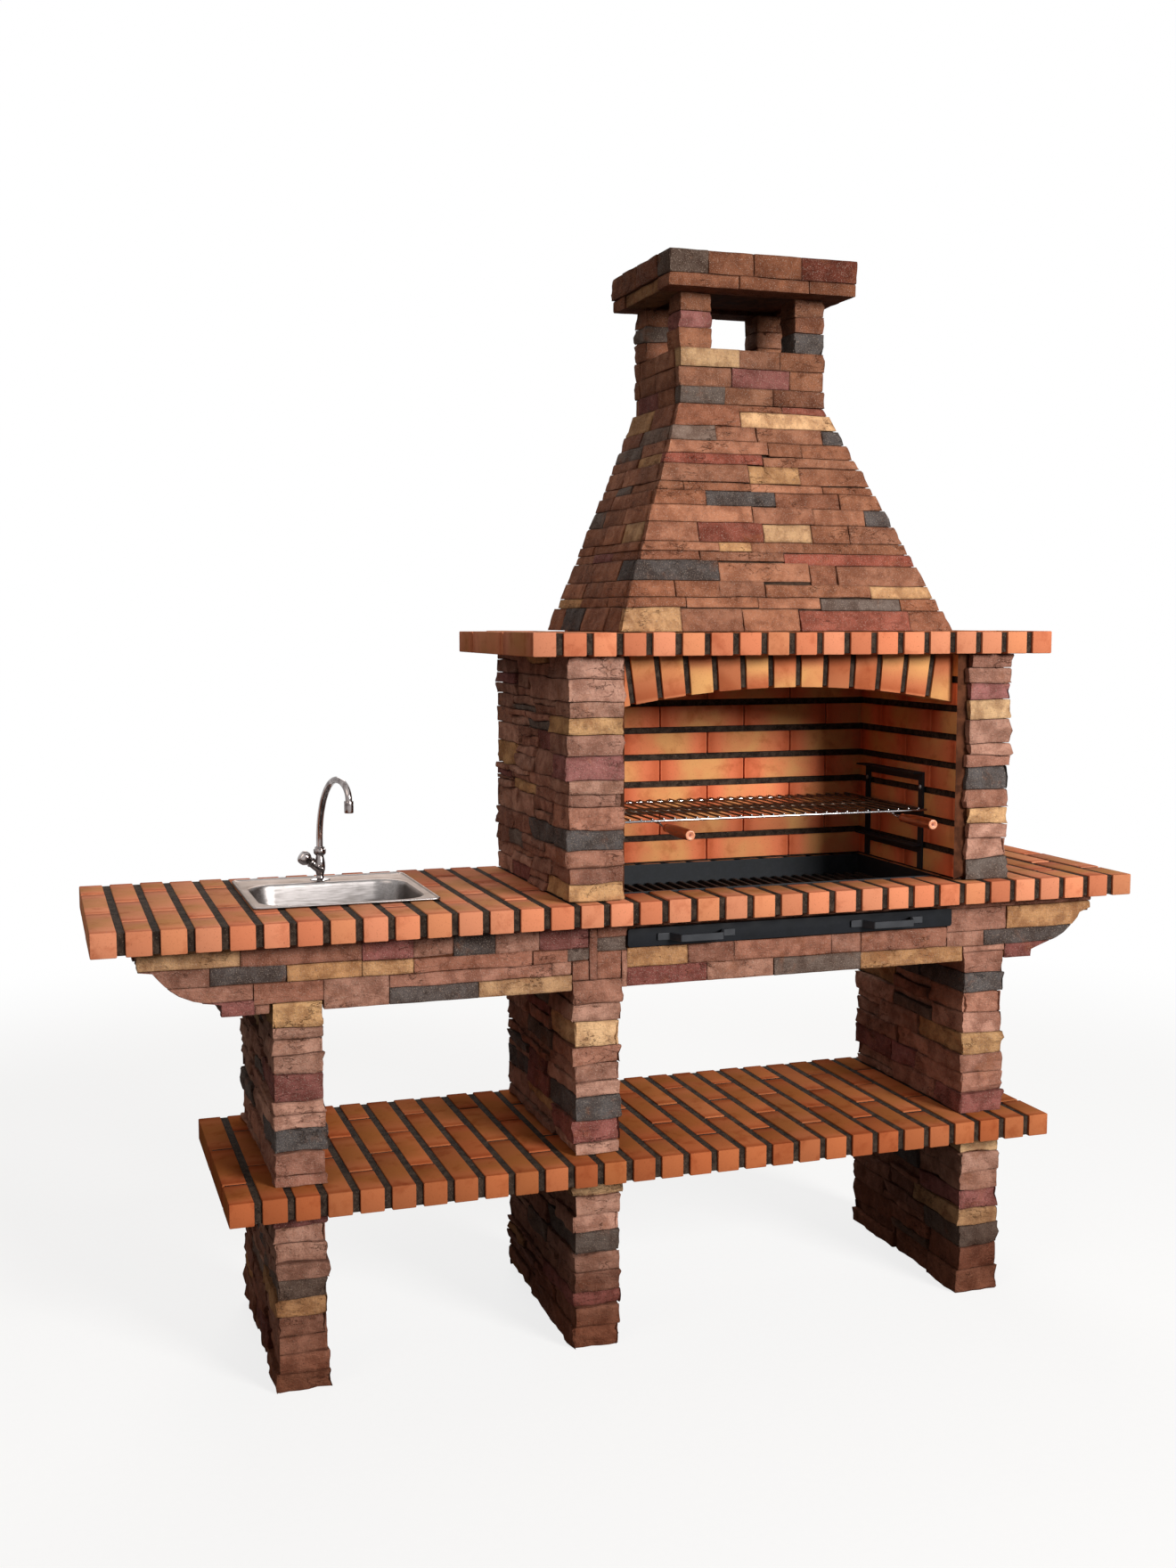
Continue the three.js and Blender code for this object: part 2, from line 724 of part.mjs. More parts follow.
function drawerHandle() {
  const half = drawerHandleLength / 2;
  const grip = drawerHandleGrip / 2;
  const out = drawerHandleReach;
  const sheet = drawerHandleSheet;
  const slope = grip + drawerHandleSlope;
  const band = polygon([
    [-half, 0],
    [-half, -sheet],
    [-slope - sheet, -sheet],
    [-grip - sheet / 2, -out],
    [grip + sheet / 2, -out],
    [slope + sheet, -sheet],
    [half, -sheet],
    [half, 0],
    [slope, 0],
    [grip - sheet / 2, sheet - out],
    [sheet / 2 - grip, sheet - out],
    [-slope, 0],
  ]);
  return plate(band, drawerHandleStrip);
}

add(drawer, 'ash_drawer_pan', drawerPan(), blackSteel);
const frontPlate = block(frontPlateLength, drawerFrontSheet, drawerFrontHeight);
const plateFoot = (drawerPanHeight - drawerFrontHeight) / 2;
const plateY = -drawerFrontSheet - bed;
add(drawer, 'ash_drawer_front', frontPlate, blackSteel, frontPlateStart, plateY, plateFoot);
const handleZ = (drawerPanHeight - drawerHandleStrip) / 2;
for (const [side, sign] of [['left', -1], ['right', 1]]) {
  const x = panLength / 2 + (sign * drawerHandleSpacing) / 2;
  add(drawer, `${side}_drawer_handle`, drawerHandle(), blackSteel, x, plateY - bed, handleZ);
}

// Angle runners, set on the cavity's side walls under the pan
function drawerRunner(side) {
  const foot = block(runnerWidth, runnerLength, runnerSheet, side > 0 ? -runnerWidth : 0, 0, -runnerSheet);
  const web = block(runnerSheet, runnerLength, runnerHeight, side > 0 ? -runnerSheet : 0, 0, -runnerHeight);
  return join([foot, web]);
}

const runnerY = baseFrontInset + baseWall + bed;
const runnerZ = panFloor - bed;
add(layout, 'left_drawer_runner', drawerRunner(-1), rawSteel, drawerCavityStart + bed, runnerY, runnerZ);
const runnerRight = drawerCavityStart + drawerCavityLength - bed;
add(layout, 'right_drawer_runner', drawerRunner(1), rawSteel, runnerRight, runnerY, runnerZ);

// Grill racks: two posts and three angle ledges on each side lining, held by two screws
const racks = group(layout, fireCentre, rackFrontInset, rackTop);

function grillRack(side) {
  const toWall = side * (fireClearWidth / 2 - bed);
  const inward = (width) => (side > 0 ? toWall - width : toWall);
  const foot = rackFootGap - rackLevel;
  const pieces = [0, rackWidth - rackPost].map((y) => {
    return block(rackSheet, rackPost, rackPitch - foot, inward(rackSheet), y, foot);
  });
  for (const level of [-1, 0, 1]) {
    const z = level * rackPitch;
    pieces.push(block(rackSheet, rackWidth, rackLedgeWeb, inward(rackSheet), 0, z - rackLedgeWeb));
    pieces.push(block(rackLedge, rackWidth, rackLedgeSheet, inward(rackLedge), 0, z - rackLedgeSheet));
  }
  const holes = [rackPost / 2, rackWidth - rackPost / 2].map((y) => {
    const hole = disc(screwShankRadius + bed, -rackSheet - overrun, rackSheet + overrun, smallRound);
    return hole.rotateY(Math.PI / 2).translate(toWall, y, rackScrewHeight);
  });
  return cut(join(pieces), ...holes);
}

function rackScrew() {
  return turned([
    [0, -screwLength],
    [screwShankRadius, -screwLength],
    [screwShankRadius, 0],
    [screwHeadRadius, 0],
    [screwHeadRadius, screwHeadHeight / 2],
    [screwHeadRadius / 2, screwHeadHeight],
    [0, screwHeadHeight],
  ], smallRound);
}

for (const [side, sign] of [['left', -1], ['right', 1]]) {
  add(racks, `${side}_grill_rack`, grillRack(sign), blackSteel);
  for (const [end, y] of [['front', rackPost / 2], ['rear', rackWidth - rackPost / 2]]) {
    const x = sign * (fireClearWidth / 2 - bed - rackSheet - bed);
    const screw = add(racks, `${side}_rack_${end}_screw`, rackScrew(), zinc, x, y, rackScrewHeight);
    screw.rotation.y = (-sign * Math.PI) / 2;
  }
}

// Grill: thin bars from front to back, welded on cross rods that lie on the rack's middle ledges
const grill = group(layout, fireCentre, grillFrontInset, rackTop + bed);

function grillGrid() {
  const pieces = [];
  const rodZ = grillRodDiameter / 2;
  for (let i = 0; i < grillRods; i++) {
    const y = grillBarDiameter + (i * (grillDepth - 2 * grillBarDiameter)) / (grillRods - 1);
    pieces.push(rod(grillRodDiameter, grillLength).rotateZ(Math.PI / 2).translate(0, y, rodZ));
  }
  const barZ = grillRodDiameter + grillBarDiameter / 2 - weldSink;
  for (let i = 0; i < grillBars; i++) {
    const x = (i - (grillBars - 1) / 2) * grillBarPitch;
    pieces.push(rod(grillBarDiameter, grillDepth).translate(x, grillDepth / 2, barZ));
  }
  return join(pieces);
}

// Handle stem: from under the grid, down a little and into the wooden grip
function handleStem() {
  const high = -bed - stemDiameter / 2;
  const low = high - stemDrop;
  const points = [
    [stemUnderGrill, high],
    [0, high],
    [-stemBend, low],
    [stemUnderGrill - stemLength, low],
  ].map(([y, z]) => new THREE.Vector3(0, y, z));
  const path = new THREE.CurvePath();
  for (let i = 1; i < points.length; i++) {
    path.add(new THREE.LineCurve3(points[i - 1], points[i]));
  }
  const section = new THREE.Shape().absarc(0, 0, stemDiameter / 2, 0, 2 * Math.PI);
  const options = { steps: stemSteps, extrudePath: path, curveSegments: smallRound / 2, bevelEnabled: false };
  return new THREE.ExtrudeGeometry(section, options);
}

function woodenGrip() {
  const bore = stemDiameter / 2 + bed;
  const belly = gripLength * gripBellyShare;
  return turned([
    [bore, 0],
    [gripNeckRadius, 0],
    [gripRadius, belly],
    [gripRadius, gripLength - belly],
    [gripEndRadius, gripLength - gripNeckRadius],
    [gripEndRadius, gripLength - bed],
    [gripNeckRadius, gripLength],
    [0, gripLength],
    [0, stemInGrip + bed],
    [bore, stemInGrip + bed],
    [bore, 0],
  ], round);
}

add(grill, 'grill_grid', grillGrid(), chrome);
for (const [side, sign] of [['left', -1], ['right', 1]]) {
  const x = (sign * gripSpacing) / 2;
  add(grill, `${side}_handle_stem`, handleStem(), chrome, x, 0, 0);
  const gripY = stemUnderGrill - stemLength + stemInGrip;
  const gripZ = -bed - stemDiameter / 2 - stemDrop;
  const grip = add(grill, `${side}_wooden_grip`, woodenGrip(), wood, x, gripY, gripZ);
  grip.rotation.x = Math.PI / 2;
}

// Sink: a rim with a raised bead, a ledge for the tap and a bowl with rounded corners
function roundedRectangle(width, depth, corner) {
  const outline = new THREE.Shape();
  outline.absarc(width - corner, corner, corner, -Math.PI / 2, 0);
  outline.absarc(width - corner, depth - corner, corner, 0, Math.PI / 2);
  outline.absarc(corner, depth - corner, corner, Math.PI / 2, Math.PI);
  outline.absarc(corner, corner, corner, Math.PI, 1.5 * Math.PI);
  return outline;
}

// A bowl shape of the given inset, whose mouth lies at z, with a rounded floor edge
function bowlShape(inset, height, x, y, z) {
  const outline = roundedRectangle(bowlWidth - 2 * inset, bowlDepthFrontBack - 2 * inset, bowlCorner - inset);
  const geometry = new THREE.ExtrudeGeometry(outline, {
    depth: height,
    bevelThickness: bowlFloorRadius,
    bevelSize: bowlFloorRadius,
    bevelOffset: -bowlFloorRadius,
    bevelSegments: bevelSteps,
    curveSegments: arcSteps,
  });
  const whole = geometry.translate(x + inset, y + inset, z + bowlFloorRadius - height);
  const above = block(2 * bowlWidth, 2 * bowlWidth, height, x - bowlWidth / 2, y - bowlWidth / 2, z);
  return cut(whole, above);
}

const sink = group(layout, sinkLeftInset, sinkFrontInset, worktopHeight + bed);
const wasteX = sinkWidth / 2;
const wasteY = bowlFrontInset + bowlDepthFrontBack / 2;
const bowlFloorZ = sinkSheet - bowlDepth;

function sinkBody() {
  const fieldWidth = sinkWidth - 2 * sinkBeadWidth;
  const fieldDepth = sinkDepth - 2 * sinkBeadWidth;
  const rim = plate(roundedRectangle(sinkWidth, sinkDepth, sinkCorner), sinkBeadHeight);
  const inside = roundedRectangle(fieldWidth, fieldDepth, sinkCorner - sinkBeadWidth);
  const field = plate(inside, sinkBeadHeight).translate(sinkBeadWidth, sinkBeadWidth, sinkSheet);
  const shell = bowlShape(0, bowlDepth, sinkRimWidth, bowlFrontInset, bed);
  const room = bowlShape(sinkSheet, bowlDepth, sinkRimWidth, bowlFrontInset, sinkSheet);
  const roomWidth = bowlWidth - 2 * sinkSheet;
  const roomDepth = bowlDepthFrontBack - 2 * sinkSheet;
  const roomTop = plate(roundedRectangle(roomWidth, roomDepth, bowlCorner - sinkSheet), overrun);
  const mouth = roomTop.translate(sinkRimWidth + sinkSheet, bowlFrontInset + sinkSheet, -bed);
  const drain = disc(wasteSleeveRadius + clearance, -2 * bowlDepth, 0).translate(wasteX, wasteY, 0);
  const tapHole = disc(tapShankRadius + bed, -overrun, overrun);
  tapHole.translate(tapX - sinkLeftInset, sinkDepth - tapBackInset, 0);
  return cut(join([cut(rim, field), shell]), room, mouth, drain, tapHole);
}

add(sink, 'sink_bowl', sinkBody(), stainless);

// Waste: a slotted flange with a sleeve, the nut that clamps it and a tail with a socket
const waste = group(sink, wasteX, wasteY, bowlFloorZ);
const bowlUnderside = bed - sinkSheet - bed;

function wasteFlange() {
  const flange = disc(wasteFlangeRadius, bed, wasteFlangeHeight);
  const sleeve = disc(wasteSleeveRadius, wasteFlangeHeight - wasteSleeveLength, wasteFlangeHeight);
  const inner = wasteSleeveRadius - wasteSleeveWall;
  const bore = disc(inner, wasteFlangeHeight - wasteSleeveLength - overrun, 0);
  const slots = [];
  for (let i = 0; i < wasteSlots; i++) {
    const angle = (i * 2 * Math.PI) / wasteSlots;
    const hole = disc(wasteSlotRadius, -overrun, overrun, wireSides);
    slots.push(hole.translate(wasteSlotCircle * Math.cos(angle), wasteSlotCircle * Math.sin(angle), 0));
  }
  return cut(join([flange, sleeve]), bore, ...slots);
}

add(waste, 'sink_waste_flange', wasteFlange(), stainless);
const nutTop = bowlUnderside - bed;
const wasteNut = ring(wasteNutRadius, wasteSleeveRadius + bed, nutTop - wasteNutHeight, nutTop);
add(waste, 'sink_waste_nut', wasteNut, grey);

function wasteTail() {
  const top = wasteFlangeHeight - wasteSleeveLength;
  const socket = wasteSleeveRadius + bed;
  return turned([
    [wasteTailRadius - wasteTailWall, top - bed],
    [socket, top - bed],
    [socket, top + wasteSocketDepth],
    [socket + wasteSocketWall, top + wasteSocketDepth],
    [socket + wasteSocketWall, top - wasteSocketWall],
    [wasteTailRadius, top - wasteSocketWall],
    [wasteTailRadius, top - wasteTailLength],
    [wasteTailRadius - wasteTailWall, top - wasteTailLength],
    [wasteTailRadius - wasteTailWall, top - bed],
  ].reverse());
}

add(waste, 'sink_waste_tail', wasteTail(), grey);

// Rim clips: angles that hook the bowl's side under the slab
function rimClip() {
  const web = block(clipSheet, clipWidth, clipRise, -clipSheet, -clipWidth / 2, 0);
  const foot = block(clipReach, clipWidth, clipSheet, -clipReach, -clipWidth / 2, 0);
  return join([web, foot]);
}

const clipZ = -bed - slabThickness - bed - clipSheet;
const clipX = sinkRimWidth - bed;
add(sink, 'left_sink_clip', rimClip(), zinc, clipX, wasteY, clipZ);
const rightClip = add(sink, 'right_sink_clip', rimClip(), zinc, sinkWidth - clipX, wasteY, clipZ);
rightClip.rotation.z = Math.PI;

// Tap: a body with a slanted valve arm, on a flange, with its shank through the ledge and the slab
const tap = group(layout, tapX, tapY, worktopHeight + bed + sinkSheet);
const tilt = THREE.MathUtils.degToRad(valveTilt);
const bellyZ = tapBellyHeight;

function tapBody() {
  const column = turned([
    [0, -tapShankLength],
    [tapShankRadius, -tapShankLength],
    [tapShankRadius, bed],
    [tapFootRadius, bed],
    [tapFootRadius, tapBodyHeight * beltShares.low],
    [tapWaistRadius, tapBodyHeight * beltShares.low + tapFlangeHeight / 2],
    [tapBellyRadius, bellyZ],
    [tapBellyRadius, tapBodyHeight * beltShares.high],
    [tapNeckRadius, tapBodyHeight * beltShares.neck],
    [tapNeckRadius, tapBodyHeight],
    [0, tapBodyHeight],
  ]);
  const arm = disc(valveArmRadius, 0, valveArmLength).rotateY(-tilt).translate(0, 0, bellyZ);
  const boreFoot = valveArmLength - spindleLength / 2;
  const bore = disc(spindleRadius + bed, boreFoot, valveArmLength + overrun, smallRound);
  return cut(join([column, arm]), bore.rotateY(-tilt).translate(0, 0, bellyZ));
}

add(tap, 'tap_body', tapBody(), chrome);
add(tap, 'tap_base_flange', ring(tapFlangeRadius, tapFootRadius + bed, bed, tapFlangeHeight), chrome);
const nutZ = -sinkSheet - bed - slabThickness - bed;
const backNut = ring(tapNutRadius, tapShankRadius + bed, nutZ - tapNutHeight, nutZ, nutSides);
add(tap, 'tap_back_nut', backNut, zinc);

// Valve: the spindle stands in the arm's bore and carries the knob
const valve = group(tap, 0, 0, bellyZ);
valve.rotation.y = -tilt;
const spindleFoot = valveArmLength - spindleLength / 2 + bed;
add(valve, 'tap_spindle', disc(spindleRadius, 0, spindleLength, smallRound), chrome, 0, 0, spindleFoot);

function tapKnob() {
  const socket = spindleFoot + spindleLength - valveArmLength;
  return turned([
    [spindleRadius + bed, clearance],
    [knobNeckRadius, clearance],
    [knobRadius, knobLength - knobLength * knobShoulderShare + clearance],
    [knobRadius, knobLength * knobShoulderShare],
    [knobNeckRadius, knobLength],
    [0, knobLength],
    [0, socket + bed],
    [spindleRadius + bed, socket + bed],
    [spindleRadius + bed, clearance],
  ]);
}

add(valve, 'tap_knob', tapKnob(), chrome, 0, 0, valveArmLength);

// Spout: a swan neck that swivels on the body inside the collar nut, with an aerator at its end
const spout = group(tap, 0, 0, tapBodyHeight + bed);
spout.rotation.z = THREE.MathUtils.degToRad(spoutTurn);

function swanNeck() {
  const top = spoutStraight + spoutRise;
  const points = [
    [0, 0],
    [0, spoutStraight],
    [0, spoutStraight + spoutRise * quarterArcShare],
    [spoutReach - spoutReach * quarterArcShare, top],
    [spoutReach, top],
    [spoutReach + spoutDropReach * quarterArcShare, top],
    [spoutReach + spoutDropReach, top - spoutDrop + spoutDrop * quarterArcShare],
    [spoutReach + spoutDropReach, top - spoutDrop],
    [spoutReach + spoutDropReach, top - spoutDrop - spoutTip],
  ].map(([x, z]) => new THREE.Vector3(x, 0, z));
  const path = new THREE.CurvePath();
  path.add(new THREE.LineCurve3(points[0], points[1]));
  path.add(new THREE.CubicBezierCurve3(points[1], points[2], points[3], points[4]));
  path.add(new THREE.CubicBezierCurve3(points[4], points[5], points[6], points[7]));
  path.add(new THREE.LineCurve3(points[7], points[8]));
  const section = new THREE.Shape().absarc(0, 0, spoutRadius, 0, 2 * Math.PI);
  section.holes.push(new THREE.Path().absarc(0, 0, spoutRadius - spoutWall, 0, 2 * Math.PI));
  const options = { steps: neckSteps, extrudePath: path, curveSegments: smallRound / 2, bevelEnabled: false };
  return new THREE.ExtrudeGeometry(section, options);
}

add(spout, 'tap_spout', swanNeck(), chrome);

function aerator() {
  const socket = spoutRadius + bed;
  const mouth = spoutRadius - spoutWall;
  return turned([
    [mouth, aeratorSocket - aeratorLength],
    [aeratorRadius, aeratorSocket - aeratorLength],
    [aeratorRadius, aeratorSocket],
    [socket, aeratorSocket],
    [socket, -bed],
    [mouth, -bed],
    [mouth, aeratorSocket - aeratorLength],
  ]);
}

const neckEnd = spoutStraight + spoutRise - spoutDrop - spoutTip;
add(spout, 'tap_aerator', aerator(), chrome, spoutReach + spoutDropReach, 0, neckEnd);
const collar = ring(collarRadius, tapNeckRadius + bed, -collarHeight / 2, collarHeight / 2, collarSides);
add(tap, 'tap_collar_nut', collar, chrome, 0, 0, tapBodyHeight);

export default barbecue;
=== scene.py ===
# Garden barbecue of split stone and brick, with a sink and a grill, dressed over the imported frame.
# The tables are in millimetres of the frame; each mesh is scaled to metres when it becomes a piece.
import json
import math
import random

import bmesh
import bpy
from mathutils import Matrix, Vector, noise

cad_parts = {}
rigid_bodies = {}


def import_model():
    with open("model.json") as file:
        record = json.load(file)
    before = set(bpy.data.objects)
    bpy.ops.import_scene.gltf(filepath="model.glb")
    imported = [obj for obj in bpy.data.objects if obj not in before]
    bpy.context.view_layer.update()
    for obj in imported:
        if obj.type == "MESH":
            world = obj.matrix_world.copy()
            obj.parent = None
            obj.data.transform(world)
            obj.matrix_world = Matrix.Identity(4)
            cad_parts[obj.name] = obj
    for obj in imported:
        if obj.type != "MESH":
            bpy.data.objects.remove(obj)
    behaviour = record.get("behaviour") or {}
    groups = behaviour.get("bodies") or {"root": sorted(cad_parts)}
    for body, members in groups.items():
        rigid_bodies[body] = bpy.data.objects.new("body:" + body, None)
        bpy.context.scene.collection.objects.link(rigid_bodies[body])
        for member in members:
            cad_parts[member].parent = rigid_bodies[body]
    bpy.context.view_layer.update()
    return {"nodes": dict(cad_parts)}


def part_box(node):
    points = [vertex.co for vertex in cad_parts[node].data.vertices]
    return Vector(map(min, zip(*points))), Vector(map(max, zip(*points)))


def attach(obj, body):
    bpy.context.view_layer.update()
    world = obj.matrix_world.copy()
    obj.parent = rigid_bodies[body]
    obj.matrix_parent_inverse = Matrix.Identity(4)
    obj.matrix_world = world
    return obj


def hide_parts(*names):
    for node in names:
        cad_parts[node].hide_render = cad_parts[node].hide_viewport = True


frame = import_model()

scene = bpy.context.scene
scene.view_settings.view_transform = "Standard"
mm = 0.001

# Each kind of piece draws from its own seed, so a change to one leaves the others alone
seeds = {"legs": 100, "baseUnits": 300, "walls": 500, "backWall": 520, "hood": 700, "chimney": 812,
         "slabs": 900, "mortar": 930, "lining": 950, "arch": 970}

# The camera stands where the photograph was taken, left of the middle and a little above the worktop
shot = {"place": (-1.15426, -3.17592, 1.44178), "turn": 18.794, "down": 5.686, "lens": 37.863, "film": 36,
        "farthest": 60}


def addObject(name, data):
    made = bpy.data.objects.new(name, data)
    scene.collection.objects.link(made)
    return made


def makeCamera():
    data = bpy.data.cameras.new("camera")
    data.sensor_fit = "VERTICAL"
    data.sensor_height = shot["film"]
    data.lens = shot["lens"]
    data.clip_end = shot["farthest"]
    camera = addObject("camera", data)
    camera.location = shot["place"]
    camera.rotation_euler = (math.radians(90 - shot["down"]), 0, math.radians(-shot["turn"]))
    scene.camera = camera


makeCamera()
print("camera set")


# Colours are written as 0 to 255 and handed on in linear light
def paint(red, green, blue):
    def linear(value):
        value /= 255
        return value / 12.92 if value <= 0.04045 else ((value + 0.055) / 1.055) ** 2.4
    return (linear(red), linear(green), linear(blue), 1.0)


# A colour made lighter or darker, and then shaded part by part
def shaded(colour, light, shade=(1, 1, 1)):
    return paint(*[level * light * part for level, part in zip(colour, shade)])


# A node with its settings and inputs; an input may be a value or another node's socket
def addNode(tree, kind, settings=None, inputs=None):
    made = tree.nodes.new(kind)
    for key, value in (settings or {}).items():
        setattr(made, key, value)
    for key, value in (inputs or {}).items():
        socket = made.inputs[key]
        if isinstance(value, bpy.types.NodeSocket):
            tree.links.new(value, socket)
        else:
            socket.default_value = value
    return made


def mathNode(tree, operation, first, second=0.0, clamp=False):
    made = addNode(tree, "ShaderNodeMath", {"operation": operation, "use_clamp": clamp},
                   {0: first, 1: second})
    return made.outputs[0]


def times(tree, first, second):
    return mathNode(tree, "MULTIPLY", first, second)


def plus(tree, first, second):
    return mathNode(tree, "ADD", first, second)


def mixColour(tree, factor, first, second, blend="MIX"):
    made = addNode(tree, "ShaderNodeMix", {"data_type": "RGBA", "blend_type": blend},
                   {"Factor": factor, 6: first, 7: second})
    return made.outputs[2]


# Takes a value from one range to another, smoothly
def ramp(tree, value, low, high, start=0.0, end=1.0):
    inputs = {"Value": value, "From Min": low, "From Max": high, "To Min": start, "To Max": end}
    made = addNode(tree, "ShaderNodeMapRange", {"interpolation_type": "SMOOTHSTEP"}, inputs)
    return made.outputs["Result"]


# Lays a colour over another; a layer is where its mask starts and is full, its strength and its colour
def overlay(tree, colour, mask, layer, blend="MIX"):
    low, high, strength, over = layer
    return mixColour(tree, ramp(tree, mask, low, high, 0.0, strength), colour, paint(*over), blend)


def noiseMask(tree, place, scale, detail=4.0, roughness=0.55, distortion=0.0):
    inputs = {"Vector": place, "Scale": scale, "Detail": detail, "Roughness": roughness,
              "Distortion": distortion}
    return addNode(tree, "ShaderNodeTexNoise", None, inputs).outputs["Fac"]


def objectPlace(tree):
    return addNode(tree, "ShaderNodeTexCoord").outputs["Object"]


def stretched(tree, place, factors):
    made = addNode(tree, "ShaderNodeVectorMath", {"operation": "MULTIPLY"}, {0: place, 1: factors})
    return made.outputs["Vector"]


def newGroup(name, inputs):
    tree = bpy.data.node_groups.new(name, "ShaderNodeTree")
    for label, kind, value in inputs:
        socket = tree.interface.new_socket(name=label, in_out="INPUT", socket_type=kind)
        socket.default_value = value
    return tree, tree.nodes.new("NodeGroupInput").outputs


# A group puts out single values, by name
def giveOut(tree, results):
    for label in results:
        tree.interface.new_socket(name=label, in_out="OUTPUT", socket_type="NodeSocketFloat")
    out = tree.nodes.new("NodeGroupOutput")
    for label, socket in results.items():
        tree.links.new(socket, out.inputs[label])
    return tree


# Mineral grain: each noise is its scale, detail, roughness and distortion
mineral = {
    "blotches": (26, 6, 0.62, 0.3), "specks": (260, 2, 0.6), "sand": (520, 2, 0.7), "coarse": (70, 6, 0.72),
    "cracked": (12, 2, 0.5), "layers": (34, 5, 0.6, 0.2), "bends": (15, 6, 0.6, 0.3),
    "layerFactors": (1, 1, 5), "bendFactors": (1, 1, 2.4), "creaseWidth": 0.011, "creaseDepth": 0.16,
}


# Soft blotches, fine specks, level layers of sediment, a few creases and a height for the bump
def makeGrainGroup():
    tree, given = newGroup("mineralGrain",
                           [("Scale", "NodeSocketFloat", 1.0), ("Layers", "NodeSocketFloat", 0.3)])
    place = addNode(tree, "ShaderNodeVectorMath", {"operation": "SCALE"},
                    {"Vector": objectPlace(tree), "Scale": given["Scale"]}).outputs["Vector"]
    blotches, specks, sand, coarse, cracked = [
        noiseMask(tree, place, *mineral[name])
        for name in ("blotches", "specks", "sand", "coarse", "cracked")]
    layers = noiseMask(tree, stretched(tree, place, mineral["layerFactors"]), *mineral["layers"])
    bends = noiseMask(tree, stretched(tree, place, mineral["bendFactors"]), *mineral["bends"])
    away = mathNode(tree, "ABSOLUTE", mathNode(tree, "SUBTRACT", bends, 0.5))
    creases = times(tree, ramp(tree, away, 0.0, mineral["creaseWidth"], 1.0, 0.0),
                    ramp(tree, cracked, 0.52, 0.6))
    height = plus(tree, times(tree, coarse, 0.75), times(tree, specks, 0.25))
    height = plus(tree, height, times(tree, layers, given["Layers"]))
    height = mathNode(tree, "SUBTRACT", height, times(tree, creases, mineral["creaseDepth"]))
    return giveOut(tree, {"Blotches": blotches, "Specks": specks, "Sand": sand, "Creases": creases,
                          "Height": height})


# Brushed or rolled metal: fine lines along one axis, smudges and dust
def makeMetalGroup():
    tree, given = newGroup("metalGrain",
                           [("Lines", "NodeSocketVector", (1, 1, 1)), ("Scale", "NodeSocketFloat", 40.0)])
    place = objectPlace(tree)
    lines = noiseMask(tree, stretched(tree, place, given["Lines"]), given["Scale"], 4.0, 0.5)
    smudges = noiseMask(tree, place, 18, 4, 0.6, 0.6)
    dust = noiseMask(tree, place, 160, 5, 0.7)
    return giveOut(tree, {"Lines": lines, "Smudges": smudges, "Dust": dust})


grainGroup = makeGrainGroup()
metalGroup = makeMetalGroup()


def grainNode(tree, scale, layers):
    return addNode(tree, "ShaderNodeGroup", {"node_tree": grainGroup},
                   {"Scale": scale, "Layers": layers}).outputs


def newMaterial(name, roughness, metallic, specular, others=None):
    material = bpy.data.materials.new(name)
    material.use_nodes = True
    shader = material.node_tree.nodes["Principled BSDF"]
    values = {"Roughness": roughness, "Metallic": metallic, "Specular IOR Level": specular, **(others or {})}
    for label, value in values.items():
        shader.inputs[label].default_value = value
    return material, material.node_tree


# Links a material's colour and bump, and its roughness where that varies
def dress(material, colour, rough, height, strength, distance):
    tree = material.node_tree
    shader = tree.nodes["Principled BSDF"]
    bump = addNode(tree, "ShaderNodeBump", None,
                   {"Height": height, "Strength": strength, "Distance": distance})
    for label, socket in (("Base Color", colour), ("Roughness", rough), ("Normal", bump.outputs["Normal"])):
        if socket is not None:
            tree.links.new(socket, shader.inputs[label])
    return material


# Split stone: layers over each stone's own colour, then painted shade in its creases and along its arrises,
# and a darkening towards the ground
stoneFinish = {
    "lighter": (1.08, 1.07, 1.05, 1), "darker": (206, 194, 188), "rust": (0.54, 0.70, 0.34, (150, 92, 60)),
    "shadow": (0.56, 0.70, 0.4, (176, 158, 150)), "specks": (0.56, 0.70, 0.38, (84, 60, 50)),
    "sand": (0.54, 0.72, 0.34, (222, 200, 182)), "crease": (120, 100, 92), "creaseStrength": 0.8,
    "arris": (58, 40, 33), "arrisStrength": 0.24, "damp": (168, 140, 124), "dampRange": (0.1, 0.48),
    "bump": 0.0055,
}


